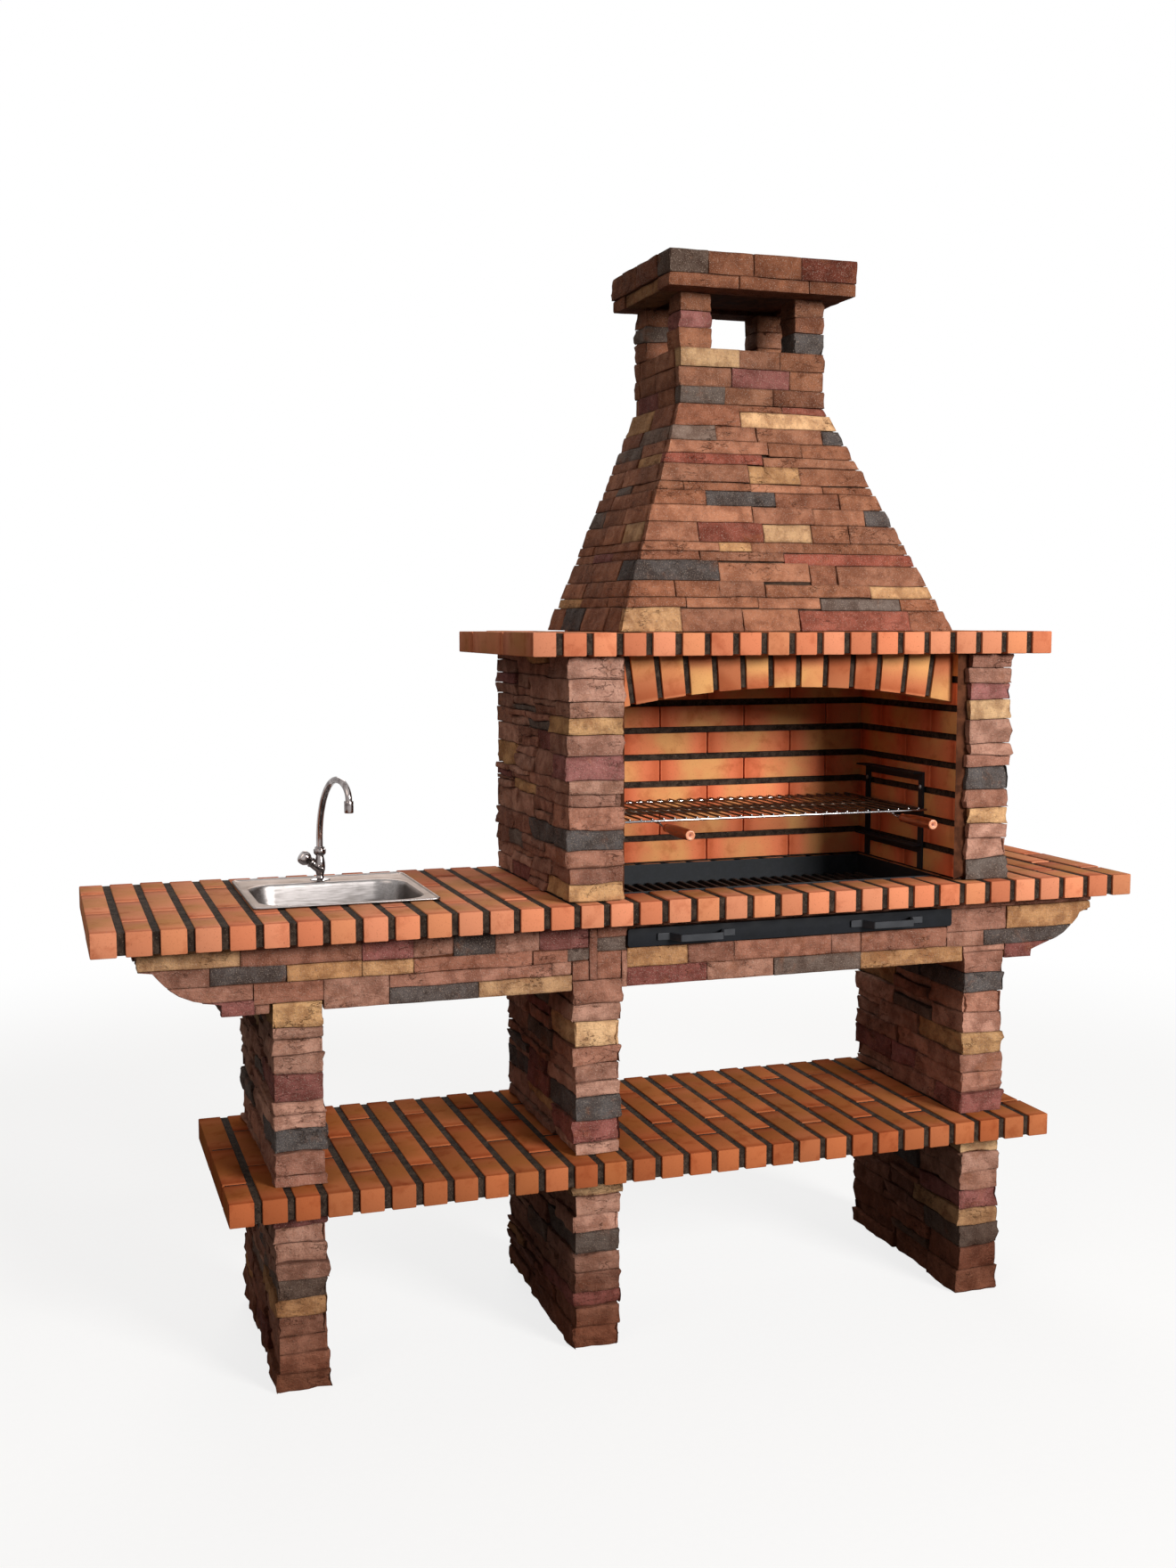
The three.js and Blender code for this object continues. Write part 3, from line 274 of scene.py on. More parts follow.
def makeStone():
    look = stoneFinish
    material, tree = newMaterial("splitStone", 0.93, 0.0, 0.06)
    tint = addNode(tree, "ShaderNodeAttribute", {"attribute_name": "stoneTint"}).outputs
    grain = grainNode(tree, 1.0, 0.45)
    place = objectPlace(tree)
    lighter = mixColour(tree, 1.0, tint["Color"], look["lighter"], "MULTIPLY")
    darker = mixColour(tree, 1.0, tint["Color"], paint(*look["darker"]), "MULTIPLY")
    colour = mixColour(tree, ramp(tree, grain["Blotches"], 0.36, 0.64), darker, lighter)
    colour = overlay(tree, colour, noiseMask(tree, place, 17, 6, 0.65, 0.6), look["rust"])
    colour = overlay(tree, colour, noiseMask(tree, place, 41, 6, 0.7, 0.4), look["shadow"], "MULTIPLY")
    colour = overlay(tree, colour, grain["Specks"], look["specks"])
    colour = overlay(tree, colour, grain["Sand"], look["sand"])
    # painted shade: each crease is darkened where shade would fall into it
    creases = times(tree, grain["Creases"], look["creaseStrength"])
    colour = mixColour(tree, creases, colour, paint(*look["crease"]), "MULTIPLY")
    # painted shade: each stone's arrises are darkened, as if shade fell into the joints
    colour = mixColour(tree, times(tree, tint["Alpha"], look["arrisStrength"]), colour, paint(*look["arris"]))
    # the legs' lowest stones are darker towards the ground, up to an uneven line
    height = addNode(tree, "ShaderNodeSeparateXYZ", None, {"Vector": place}).outputs["Z"]
    height = plus(tree, height, times(tree, noiseMask(tree, place, 7, 3), 0.2))
    colour = mixColour(tree, ramp(tree, height, *look["dampRange"], 1.0, 0.0), colour, paint(*look["damp"]),
                       "MULTIPLY")
    return dress(material, colour, ramp(tree, grain["Specks"], 0.2, 0.8, 0.86, 0.99), grain["Height"], 1.0,
                 look["bump"])


# Cast concrete behind the stones and inside the hood, dark brown
def makeCast(name, light, dark, soot):
    material, tree = newMaterial(name, 0.92, 0.0, 0.08)
    grain = grainNode(tree, 1.3, 0.1)
    colour = mixColour(tree, ramp(tree, grain["Blotches"], 0.35, 0.68), paint(*dark), paint(*light))
    colour = overlay(tree, colour, grain["Specks"], (0.55, 0.75, 0.5, soot))
    return dress(material, colour, None, grain["Height"], 0.5, 0.002)


# Brick: clay that fires to another colour, the flash, along the middle of each brick
brickFinish = {"ends": (206, 160, 136), "burnt": (0.5, 0.72, 0.45, (196, 150, 128)),
               "specks": (0.60, 0.74, 0.35, (112, 58, 34)), "bump": 0.0014}


def makeBrick(name, flashColour, flashStrength, specular=0.05):
    look = brickFinish
    material, tree = newMaterial(name, 0.85, 0.0, specular)
    tint = addNode(tree, "ShaderNodeAttribute", {"attribute_name": "brickTint"}).outputs
    grain = grainNode(tree, 1.4, 0.0)
    place = objectPlace(tree)
    middle = times(tree, times(tree, tint["Alpha"], mathNode(tree, "SUBTRACT", 1.0, tint["Alpha"])), 4.0)
    cloud = noiseMask(tree, place, 9, 3, 0.5, 0.5)
    flash = times(tree, ramp(tree, middle, 0.4, 1.0), ramp(tree, cloud, 0.32, 0.62, 0.25, 1.0))
    colour = mixColour(tree, times(tree, flash, flashStrength), tint["Color"], paint(*flashColour))
    ends = times(tree, ramp(tree, middle, 0.03, 0.1), ramp(tree, middle, 0.12, 0.5, 0.5, 0.0))
    colour = mixColour(tree, ends, colour, paint(*look["ends"]), "MULTIPLY")
    colour = overlay(tree, colour, noiseMask(tree, place, 23, 5, 0.6, 0.3), look["burnt"], "MULTIPLY")
    colour = overlay(tree, colour, grain["Specks"], look["specks"])
    rough = ramp(tree, grain["Specks"], 0.2, 0.8, 0.76, 0.95)
    return dress(material, colour, rough, grain["Height"], 0.35, look["bump"])


def makeMortar(name, light, dark, pale):
    material, tree = newMaterial(name, 0.95, 0.0, 0.08)
    grain = grainNode(tree, 2.2, 0.0)
    colour = mixColour(tree, ramp(tree, grain["Blotches"], 0.35, 0.7), paint(*dark), paint(*light))
    colour = overlay(tree, colour, grain["Specks"], (0.6, 0.74, 0.55, pale))
    return dress(material, colour, None, grain["Height"], 0.9, 0.003)


# Metals share one grain; wear shows as smudges and dust, and edge tints the gloss at a grazing angle
def makeMetal(name, light, dark, roughness, metallic, lines=(1, 1, 1), scale=40.0, spread=0.12, bump=0.05,
              dust=0.0, dustColour=None, specular=0.5, edge=None):
    others = {"Specular Tint": paint(*edge)} if edge else None
    material, tree = newMaterial(name, roughness, metallic, specular, others)
    grain = addNode(tree, "ShaderNodeGroup", {"node_tree": metalGroup},
                    {"Lines": lines, "Scale": scale}).outputs
    shade = plus(tree, times(tree, grain["Lines"], 0.6), times(tree, grain["Smudges"], 0.4))
    colour = mixColour(tree, ramp(tree, shade, 0.35, 0.65), paint(*dark), paint(*light))
    if dust:
        colour = overlay(tree, colour, grain["Dust"], (0.5, 0.7, dust, dustColour))
    rough = ramp(tree, shade, 0.3, 0.7, max(0.02, roughness - spread), min(1.0, roughness + spread))
    return dress(material, colour, rough, grain["Lines"], bump, 0.0008)


# Turned hardwood with grain along the grip
def makeWood(name, light, dark):
    material, tree = newMaterial(name, 0.38, 0.0, 0.5, {"Coat Weight": 0.3, "Coat Roughness": 0.15})
    grain = addNode(tree, "ShaderNodeMapping", None, {"Vector": objectPlace(tree), "Scale": (9.0, 1.0, 9.0)})
    rings = noiseMask(tree, grain.outputs["Vector"], 22, 5, 0.6, 1.2)
    pores = noiseMask(tree, grain.outputs["Vector"], 140, 2, 0.5)
    colour = mixColour(tree, ramp(tree, rings, 0.35, 0.65), paint(*dark), paint(*light))
    colour = overlay(tree, colour, pores, (0.58, 0.72, 0.6, (70, 28, 14)))
    return dress(material, colour, ramp(tree, rings, 0.3, 0.7, 0.3, 0.45), pores, 0.15, 0.0006)


splitStone = makeStone()
castStone = makeCast("castStone", (98, 58, 39), (62, 35, 23), (62, 35, 23))
sootyCast = makeCast("sootyCast", (84, 64, 52), (44, 35, 30), (20, 17, 15))
slabBrick = makeBrick("slabBrick", (168, 124, 66), 0.55)
# the slab brick again with a darker flash, as painted shade under the worktop
shelfBrick = makeBrick("shelfBrick", (144, 92, 42), 0.5, 0.0)
liningBrick = makeBrick("liningBrick", (222, 168, 106), 0.8)
darkMortar = makeMortar("darkMortar", (73, 60, 51), (39, 31, 27), (142, 132, 118))
blackSteel = makeMetal("blackSteel", (29, 32, 37), (21, 24, 28), 0.56, 0.0, spread=0.06, dust=0.12,
                       dustColour=(60, 58, 56), specular=0.2)
plateSteel = makeMetal("plateSteel", (22, 24, 29), (15, 17, 21), 0.56, 0.0, spread=0.06, dust=0.1,
                       dustColour=(48, 46, 45), specular=0.13)
# the handles are a lighter grey than the plate: partly their own steel, partly a painted reflection
handleSteel = makeMetal("handleSteel", (42, 44, 49), (33, 35, 40), 0.36, 0.0, bump=0.03, spread=0.05,
                        specular=0.36)
rawSteel = makeMetal("rawSteel", (66, 58, 52), (34, 30, 28), 0.6, 0.5, bump=0.2, dust=0.4,
                     dustColour=(96, 62, 42))
zincSteel = makeMetal("zincSteel", (178, 180, 182), (140, 142, 146), 0.4, 0.9)
chrome = makeMetal("chrome", (184, 183, 185), (150, 149, 151), 0.12, 1.0, spread=0.04, bump=0.01)
# the tap's chrome is painted darker, with dark brownish streaks as painted reflections
tapChrome = makeMetal("tapChrome", (168, 160, 158), (92, 82, 80), 0.1, 1.0, lines=(1, 1, 0.25), scale=95.0,
                      spread=0.04, bump=0.02)
# the grill's chrome rods painted dark reddish brown, as a painted reflection of the firebox, with dust of
# their own
sootyWire = makeMetal("sootyWire", (112, 96, 84), (62, 46, 38), 0.42, 0.7, scale=120.0, bump=0.15, dust=0.5,
                      dustColour=(58, 38, 28))
stainless = makeMetal("stainless", (158, 153, 152), (134, 129, 127), 0.34, 1.0, lines=(1, 14, 14), scale=30.0,
                      spread=0.06, bump=0.02, edge=(176, 163, 154))
greyPlastic = makeMetal("greyPlastic", (176, 177, 178), (160, 161, 163), 0.5, 0.0, scale=90.0)
turnedWood = makeWood("turnedWood", (172, 82, 44), (112, 46, 22))
endWood = makeWood("endWood", (232, 158, 118), (206, 122, 84))
print("materials made")


def keepMesh(bm, name):
    mesh = bpy.data.meshes.new(name)
    bm.to_mesh(mesh)
    bm.free()
    return mesh


# A finished mesh becomes one piece, named after the node that it stands for unless a name is given
def makePiece(bm, body, node, materials, sharp=35, name=None):
    bmesh.ops.scale(bm, vec=(mm, mm, mm), verts=bm.verts)
    for face in bm.faces:
        face.smooth = True
    limit = math.radians(sharp)
    for edge in bm.edges:
        if len(edge.link_faces) == 2 and edge.calc_face_angle(0) > limit:
            edge.smooth = False
    first, *rest = node.split("_")
    name = name or first + "".join(word.capitalize() for word in rest)
    mesh = keepMesh(bm, name)
    for material in materials:
        mesh.materials.append(material)
    piece = addObject(name, mesh)
    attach(piece, body)
    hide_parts(node)
    return piece


# A CAD node's lowest and highest corner, in millimetres
def nodeBox(node):
    return [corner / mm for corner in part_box(node)]


# New geometry from a mesh, as the vertices and faces that it brought
def bringIn(bm, mesh):
    before = len(bm.verts), len(bm.faces)
    bm.from_mesh(mesh)
    bm.verts.ensure_lookup_table()
    bm.faces.ensure_lookup_table()
    return bm.verts[before[0]:], bm.faces[before[1]:]


def setIndex(faces, index):
    for face in faces:
        face.material_index = index


# A part modelled by itself joins the piece with one material index
def addAll(bm, part, index=0):
    mesh = keepMesh(part, "part")
    verts, faces = bringIn(bm, mesh)
    bpy.data.meshes.remove(mesh)
    setIndex(faces, index)
    return verts


# Stone: each stone is a gridded block whose bare sides are broken and whose joints stay tight
stone = {
    "cell": 15, "courseCell": 8, "most": 16, "joint": 0.7, "rim": 4, "light": 1.1,
    "brown": [(166, 125, 109), (156, 115, 100), (174, 133, 117), (146, 103, 88), (161, 122, 106),
              (152, 107, 90)],
    "umber": [(150, 102, 78), (142, 95, 72), (158, 110, 86), (134, 88, 68), (146, 101, 80)],
    "tan": [(192, 153, 112), (182, 142, 101), (198, 162, 123)],
    "grey": [(103, 93, 88), (83, 79, 79), (112, 97, 89)],
    "maroon": [(138, 86, 82), (128, 78, 73), (147, 96, 93)],
    "redBrown": [(138, 78, 65), (128, 72, 60), (146, 86, 72)],
}
letters = {"B": "brown", "U": "umber", "Y": "tan", "G": "grey", "M": "maroon", "R": "redBrown"}
rough = {"relief": 4.6, "offset": 5.0, "lean": 3.6, "chip": 1.6, "centre": -2.2, "wave": 5.0}
flat = {"relief": 2.1, "offset": 2.0, "lean": 1.2, "chip": 1.1, "centre": -1.2, "wave": 2.0}
blockSides = {"left": (0, 0), "right": (0, 1), "front": (1, 0), "back": (1, 1), "low": (2, 0), "high": (2, 1)}
blockPatterns = {}
tiny = 1e-4


# A block of one unit; its bare upright sides keep their grid and the others are one face each
def blockPattern(cells, bare=("left", "right", "front", "back")):
    key = cells, tuple(sorted(bare))
    if key not in blockPatterns:
        bm = bmesh.new()
        bmesh.ops.create_cube(bm, size=1, matrix=Matrix.Translation((0.5, 0.5, 0.5)))
        for axis, count in enumerate(cells):
            edges = [e for e in bm.edges if abs(e.verts[0].co[axis] - e.verts[1].co[axis]) > 0.9]
            if count > 1:
                bmesh.ops.subdivide_edges(bm, edges=edges, cuts=count - 1)
        for side, (axis, end) in blockSides.items():
            if axis == 2 or side not in bare:
                plain = [f for f in bm.faces if all(abs(v.co[axis] - end) < tiny for v in f.verts)]
                bmesh.ops.dissolve_faces(bm, faces=plain, use_verts=True)
        blockPatterns[key] = keepMesh(bm, "blockPattern")
    return blockPatterns[key]


def edgeAt(edge, height):
    return edge(height) if callable(edge) else edge


# Moves the first and last grid line close to the block's border, so that only the arris is chipped
def crowd(share, count, rim):
    step = share * count
    if count < 3:
        return share
    if step <= 1:
        return step * rim
    if step >= count - 1:
        return 1 - (count - step) * rim
    return rim + (step - 1) / (count - 2) * (1 - 2 * rim)


# The bed between two courses rises and falls a little, but not at the piece's own top and bottom
def bedWave(look, height, along):
    if any(abs(height - level) < 1 for level in look["flats"]):
        return 0.0
    return look["wave"] * noise.noise(Vector((along * 0.012, height * 0.37, 3.0)))


def pickColour(letter, dice, shade):
    light = dice.uniform(0.9, 1.07) * stone["light"]
    return shaded(dice.choice(stone[letters[letter]]), light, shade)


# Bare sides are broken; an edge may be a number or follow the height
def layStone(bm, letter, left, right, front, back, low, high, bare, dice, look, colour=None, trim=None):
    middle = (low + high) / 2
    size = (edgeAt(right, middle) - edgeAt(left, middle), edgeAt(back, middle) - edgeAt(front, middle),
            high - low)
    cells = tuple(max(3, min(stone["most"], round(length / cell)))
                  for length, cell in zip(size, (stone["cell"], stone["cell"], stone["courseCell"])))
    verts, faces = bringIn(bm, blockPattern(cells, bare))
    setIndex(faces, 0)
    rims = [min(stone["rim"] / length, 1 / count) for length, count in zip(size, cells)]
    tint = bm.verts.layers.float_color["stoneTint"]
    colour = colour or pickColour(letter, dice, look.get("shade", (1, 1, 1)))
    push = {side: look["centre"] + dice.uniform(-look["offset"], look["offset"]) for side in sorted(bare)}
    lean = {side: dice.uniform(-look["lean"], look["lean"]) for side in sorted(bare)}
    turn = {side: dice.uniform(-look["lean"], look["lean"]) for side in sorted(bare)}
    shift = Vector((dice.uniform(0, 90), dice.uniform(0, 90), dice.uniform(0, 90)))
    gap = {side: 0 if side in bare else stone["joint"] for side in blockSides}
    for vert in verts:
        u, v, w = [crowd(vert.co[i], cells[i], rims[i]) for i in range(3)]
        borders = sum(share < tiny or share > 1 - tiny for share in (u, v, w))
        z = low + size[2] * w
        x0, x1, y0, y1 = [edgeAt(edge, z) for edge in (left, right, front, back)]
        x0, x1, y0, y1 = x0 + gap["left"], x1 - gap["right"], y0 + gap["front"], y1 - gap["back"]
        x, y = x0 + (x1 - x0) * u, y0 + (y1 - y0) * v
        z += bedWave(look, low, x + y) * (1 - w) + bedWave(look, high, x + y) * w
        z += gap["low"] * (1 - w) - gap["high"] * w
        place = Vector((x, y, z))
        broken = noise.fractal(place * 0.03 + shift, 0.7, 2.1, 5) + 0.45 * noise.noise(place * 0.11 + shift)
        broken += 0.55 * noise.noise(Vector((x * 0.018, y * 0.018, z * 0.1)) + shift)
        chip = look["chip"] * (0.25 + 1.7 * abs(noise.noise(place * 0.05 + shift))) * max(0, borders - 1)
        move = Vector((0, 0, 0))
        for side, across in (("left", v), ("right", v), ("front", u), ("back", u)):
            axis, end = blockSides[side]
            if side in bare and abs((u, v)[axis] - end) < tiny:
                amount = (push[side] + lean[side] * (w - 0.5) + turn[side] * (across - 0.5)
                          + look["relief"] * broken - chip)
                move[axis] += amount if end else -amount
        vert.co = place + move
        if trim:
            trim(vert.co)
        # the alpha marks the stone's arrises, where the material paints shade
        vert[tint] = (*colour[:3], 1.0 if borders > 1 else 0.0)
    return colour


def boxEdges(low, high):
    return low.x, high.x, low.y, high.y, low.z, high.z


coreInset = 13


# The CAD node's own shape, drawn in a little behind the stones
def layCore(bm, node, edges, inset=coreInset, keep=None):
    low, high = edges[4:]
    core = bmesh.new()
    core.from_mesh(frame["nodes"][node].data)
    bmesh.ops.scale(core, vec=(1000, 1000, 1000), verts=core.verts)
    bmesh.ops.remove_doubles(core, verts=core.verts, dist=0.02)
    bmesh.ops.dissolve_limit(core, angle_limit=math.radians(1), verts=core.verts, edges=core.edges)
    for vert in core.verts:
        if keep and keep(vert.co):
            continue
        x0, x1, y0, y1 = [edgeAt(edge, vert.co.z) for edge in edges[:4]]
        vert.co.x = min(max(vert.co.x, x0 + inset), x1 - inset)
        vert.co.y = min(max(vert.co.y, y0 + inset), y1 - inset)
        vert.co.z = min(max(vert.co.z, low + inset), high - inset / 4)
    addAll(bm, core, 1)


# A bmesh whose points carry a colour and one more value
def newTinted(name):
    bm = bmesh.new()
    bm.verts.layers.float_color.new(name)
    return bm


# The names of the sides whose condition holds
def sidesWhere(**conditions):
    return {side for side, holds in conditions.items() if holds}


# Splits a length into stones of uneven length
def uneven(start, end, typical, dice):
    count = max(1, round((end - start) / typical))
    weights = [dice.uniform(0.62, 1.38) for _ in range(count)]
    total = sum(weights)
    marks = [start]
    for weight in weights:
        marks.append(marks[-1] + (end - start) * weight / total)
    return list(zip(marks, marks[1:]))


# Some stones are two thin ones on top of each other
def splitBed(low, high, chance, dice):
    if dice.random() > chance:
        return [(low, high)]
    middle = low + (high - low) * dice.uniform(0.36, 0.64)
    return [(low, middle), (middle, high)]


def pickLetter(dice, grey=0.05, tan=0.04, maroon=0.05):
    roll = dice.random()
    if roll < grey:
        return "G"
    if roll < grey + tan:
        return "Y"
    return "M" if roll < grey + tan + maroon else "B"


def courseHeights(low, high, shares):
    total = sum(shares)
    marks = [high]
    for share in shares:
        marks.append(marks[-1] - (high - low) * share / total)
    marks[-1] = low
    return [(marks[i + 1], marks[i]) for i in range(len(shares))]


# Legs: a pile of blocks, each course with its own front stone and two or three behind it
legLooks = {
    # front stones from the top down, their shares of the height, and the other colours behind: course, place
    "left_upper_leg": ("YBBBMBBGBB", (46, 22, 26, 36, 50, 24, 26, 44, 42, 20),
                       {(1, 1): "G", (4, 1): "G", (7, 2): "G"}),
    "middle_upper_leg": ("BBYBBBGMB", (40, 30, 44, 30, 28, 28, 38, 40, 18),
                         {(1, 1): "G", (3, 1): "G", (6, 2): "G", (5, 1): "M"}),
    "right_upper_leg": ("BGBBYBBM", (46, 40, 44, 42, 46, 38, 44, 42),
                        {(1, 1): "G", (3, 1): "G", (5, 0): "G", (2, 2): "Y"}),
    "left_lower_leg": ("MBBBGYBBBB", (30, 34, 38, 32, 40, 34, 38, 32, 40, 38),
                       {(2, 1): "G", (5, 1): "G", (7, 2): "Y"}),
    "middle_lower_leg": ("YBBGBBMBB", (40, 38, 36, 44, 38, 42, 32, 40, 46),
                         {(1, 1): "M", (4, 1): "G", (6, 2): "Y"}),
    "right_lower_leg": ("YBBMYGBB", (42, 44, 40, 38, 36, 44, 50, 52),
                        {(2, 1): "G", (4, 2): "B", (6, 1): "G"}),
}
legSpacing = {"length": 150, "split": 0.4}


def makeLeg(node, number):
    letterRow, shares, accents = legLooks[node]
    low, high = nodeBox(node)
    look = dict(rough, flats=(low.z, high.z))
    dice = random.Random(seeds["legs"] + number)
    bm = newTinted("stoneTint")
    layCore(bm, node, boxEdges(low, high))
    for course, (z0, z1) in enumerate(courseHeights(low.z, high.z, shares)):
        splits = uneven(low.y, high.y, legSpacing["length"], dice)
        for place, (y0, y1) in enumerate(splits):
            letter = letterRow[course] if place == 0 else accents.get((course, place), pickLetter(dice))
            bare = sidesWhere(left=True, right=True, front=place == 0, back=place == len(splits) - 1,
                              low=z0 == low.z)
            for a, b in splitBed(z0, z1, legSpacing["split"] if place else 0.0, dice):
                layStone(bm, letter, low.x, high.x, y0, y1, a, b, bare, dice, look)
                letter = pickLetter(dice, 0.02, 0.02, 0.03)
    makePiece(bm, "stand", node, [splitStone, castStone])


for number, node in enumerate(legLooks):
    makeLeg(node, number)
print("legs laid")


# Behind the drawer's front plate the stones stay flush
plateZone = {"left": -60, "right": 668, "low": 801, "high": 844, "limit": -191.6}


def trimToPlate(place):
    if plateZone["left"] < place.x < plateZone["right"] and plateZone["low"] < place.z < plateZone["high"]:
        if place.y < 0:
            place.y = max(place.y, plateZone["limit"])


# Base units: the corbel's edge as a function of height, then stones listed one by one on the front
corbel = {"nose": 22, "curve": 88, "shelf": 34, "noseFoot": 91, "foot": 27, "bulge": 11, "low": 726}


def corbelReach(height):
    h = height - corbel["low"]
    if h >= corbel["noseFoot"]:
        return 0.0
    end = corbel["nose"] + corbel["curve"]
    if h < corbel["foot"]:
        return end + corbel["shelf"]
    fall = corbel["noseFoot"] - corbel["foot"]
    bulge = 2 * corbel["bulge"] / math.hypot(corbel["curve"], fall)
    controlX = corbel["nose"] + corbel["curve"] / 2 - bulge * fall
    controlZ = corbel["foot"] + fall / 2 - bulge * corbel["curve"]
    a = corbel["foot"] - 2 * controlZ + corbel["noseFoot"]
    b = 2 * (controlZ - corbel["foot"])
    t = (-b + math.sqrt(b * b - 4 * a * (corbel["foot"] - h))) / (2 * a)
    return (1 - t) ** 2 * end + 2 * t * (1 - t) * controlX + t * t * corbel["nose"]


baseUnit = {
    "front": -192, "back": 278, "low": 726, "high": 857.7, "facing": 24, "inset": 5, "leastStone": 12,
    "leftNose": -985.8, "rightNose": 1009.8, "leftFar": -119.3, "rightFar": -119.0,
    "endDepth": 42, "endLength": 140, "endBeds": (726, 753, 784, 817, 857.7),
    # the shade darkens the stones: partly a browner tone of their own, partly painted shade under the
    # worktop's overhang
    "backLength": 170, "backBeds": (726, 757, 790, 823, 857.7), "shade": (0.94, 0.9, 0.88),
    # room for the legs in the lowest course of the back
    "leftGaps": ((-752, -651), (-169.5, 0)), "rightGaps": ((-200, -69), (696.5, 797)),
    # each stone: letter, left end, right end, low, high; None is the corbel's own edge
    "leftFront": [
        ("Y", None, -803, 817, 858), ("B", -803, -581, 814, 858), ("M", -581, -483, 812, 858),
        ("B", -483, -406, 810, 858), ("G", -406, -324, 808, 858), ("B", -324, -236, 808, 858),
        ("M", -236, -136, 808, 858), ("B", -136, -119.3, 744, 858),
        ("B", None, -858, 783, 817), ("G", -858, -720, 783, 817), ("Y", -720, -581, 783, 814),
        ("Y", -581, -483, 783, 811), ("B", -483, -250, 782, 809), ("B", -250, -180, 782, 808),
        ("G", -180, -136, 784, 808),
        ("B", None, -781, 753, 783), ("B", -781, -653, 744, 783), ("B", -653, -530, 726, 783),
        ("B", -530, -212, 757, 782), ("B", -212, -171, 757, 783), ("B", -171, -136, 744, 783),
        ("M", None, -779, 726, 753), ("B", -779, -752.5, 726, 744), ("G", -530, -358, 726, 757),
        ("Y", -358, -171, 726, 757)],
    "rightFront": [
        ("B", -119, -57, 826, 858), ("G", -119, -57, 799, 826), ("B", -119, -69, 744, 799),
        ("B", -69, -57, 726, 799), ("B", -57, 656, 843, 858), ("B", 656, None, 838, 858),
        ("Y", -57, 71, 763, 802), ("B", 71, 171, 763, 802), ("B", 171, 388, 762, 802),
        ("B", 388, 455, 762, 802), ("B", 455, 656, 760, 802), ("B", 656, 800, 789, 838),
        ("Y", 800, None, 789, 838), ("B", 656, 746, 757, 789), ("G", 746, None, 757, 789),
        ("M", -57, 113, 726, 763), ("B", 113, 259, 726, 763), ("G", 259, 455, 726, 762),
        ("Y", 455, 696, 726, 760), ("B", 696, 797.5, 744, 757), ("M", 797.5, None, 726, 757)],
}


def makeBaseUnit(side, sign):
    nose, node = baseUnit[side + "Nose"], side + "_base_unit"
    front, back, low, high, facing = [baseUnit[key] for key in ("front", "back", "low", "high", "facing")]
    look = dict(flat, flats=(low, high), shade=baseUnit["shade"])
    dice = random.Random(seeds["baseUnits"] + sign)
    bm = newTinted("stoneTint")

    def reach(height):
        return nose - sign * corbelReach(height)

    def inner(height):
        return reach(height) - sign * baseUnit["endDepth"]

    foot = abs(nose) - corbel["nose"] - corbel["curve"] - corbel["shelf"]
    layCore(bm, node, (-math.inf, math.inf, front, back, low, high), baseUnit["inset"])
    for vert in bm.verts:
        if sign * vert.co.x > foot - 1:
            vert.co.x -= sign * baseUnit["inset"]
    for letter, x0, x1, z0, z1 in baseUnit[side + "Front"]:
        bare = sidesWhere(front=True, low=z0 == low) | ({side} if None in (x0, x1) else set())
        x0, x1 = [reach if edge is None else edge for edge in (x0, x1)]
        layStone(bm, letter, x0, x1, front, front + facing, z0, min(z1, high), bare, dice, look,
                 trim=trimToPlate)
    # the corbel's end, from behind the front stones to the back ones
    for z0, z1 in zip(baseUnit["endBeds"], baseUnit["endBeds"][1:]):
        for y0, y1 in uneven(front + facing, back - facing, baseUnit["endLength"], dice):
            bare = {side} | sidesWhere(low=z0 == low)
            edges = (reach, inner) if side == "left" else (inner, reach)
            layStone(bm, pickLetter(dice), *edges, y0, y1, z0, z1, bare, dice, look)
    # the back, whose outer stones end in the corbel's edge
    for z0, z1 in zip(baseUnit["backBeds"], baseUnit["backBeds"][1:]):
        end = reach(z0 + 0.01)
        for whole in uneven(*sorted((end, baseUnit[side + "Far"])), baseUnit["backLength"], dice):
            spans = [whole]
            for a, b in baseUnit[side + "Gaps"] if z0 == low else ():
                spans = [part for x0, x1 in spans for part in ((x0, min(x1, a)), (max(x0, b), x1))
                         if part[1] - part[0] > baseUnit["leastStone"]]
            for x0, x1 in spans:
                bare = sidesWhere(back=True, low=z0 == low)
                if abs((x0 if side == "left" else x1) - end) < 1:
                    bare |= {side}
                    x0, x1 = (reach, x1) if side == "left" else (x0, reach)
                layStone(bm, pickLetter(dice), x0, x1, back - facing, back, z0, z1, bare, dice, look)
    makePiece(bm, "stand", node, [splitStone, castStone])


makeBaseUnit("left", -1)
makeBaseUnit("right", 1)
print("base units laid")


# Firebox walls: front stones from the top down, and longer stones along the side
wallLooks = {
    "left": ("BBBYBMBBBGBBY", (130, 135, 90, 100, 120, 150, 80, 70, 140, 120, 100, 95, 105),
             {(1, 0): "M", (3, 1): "G", (5, 3): "Y", (6, 3): "M", (9, 1): "G", (10, 2): "G", (2, 2): "G",
              (7, 2): "Y"}),
    "right": ("BBMYBBBGBYBBG", (85, 90, 95, 115, 145, 70, 65, 135, 115, 95, 85, 115, 130),
              {(2, 1): "G", (5, 2): "Y", (8, 1): "M", (10, 3): "G"}),
}
wallSpacing = {"length": 135, "split": 0.45}
backWall = {"depth": 26, "length": 165, "shares": (1, 1.2, 0.8, 1.1, 0.9, 1.2, 1, 0.8, 1.1, 1, 1.2, 0.9, 1)}

# The left wall's front stones hang over the cast lip; behind it they are cut to the wall's line
wallLip = {"edge": -75, "line": -92.5, "depth": -219.5, "width": 20}


def trimToWall(place):
    if place.y > wallLip["depth"]:
        place.x = min(place.x, wallLip["line"])


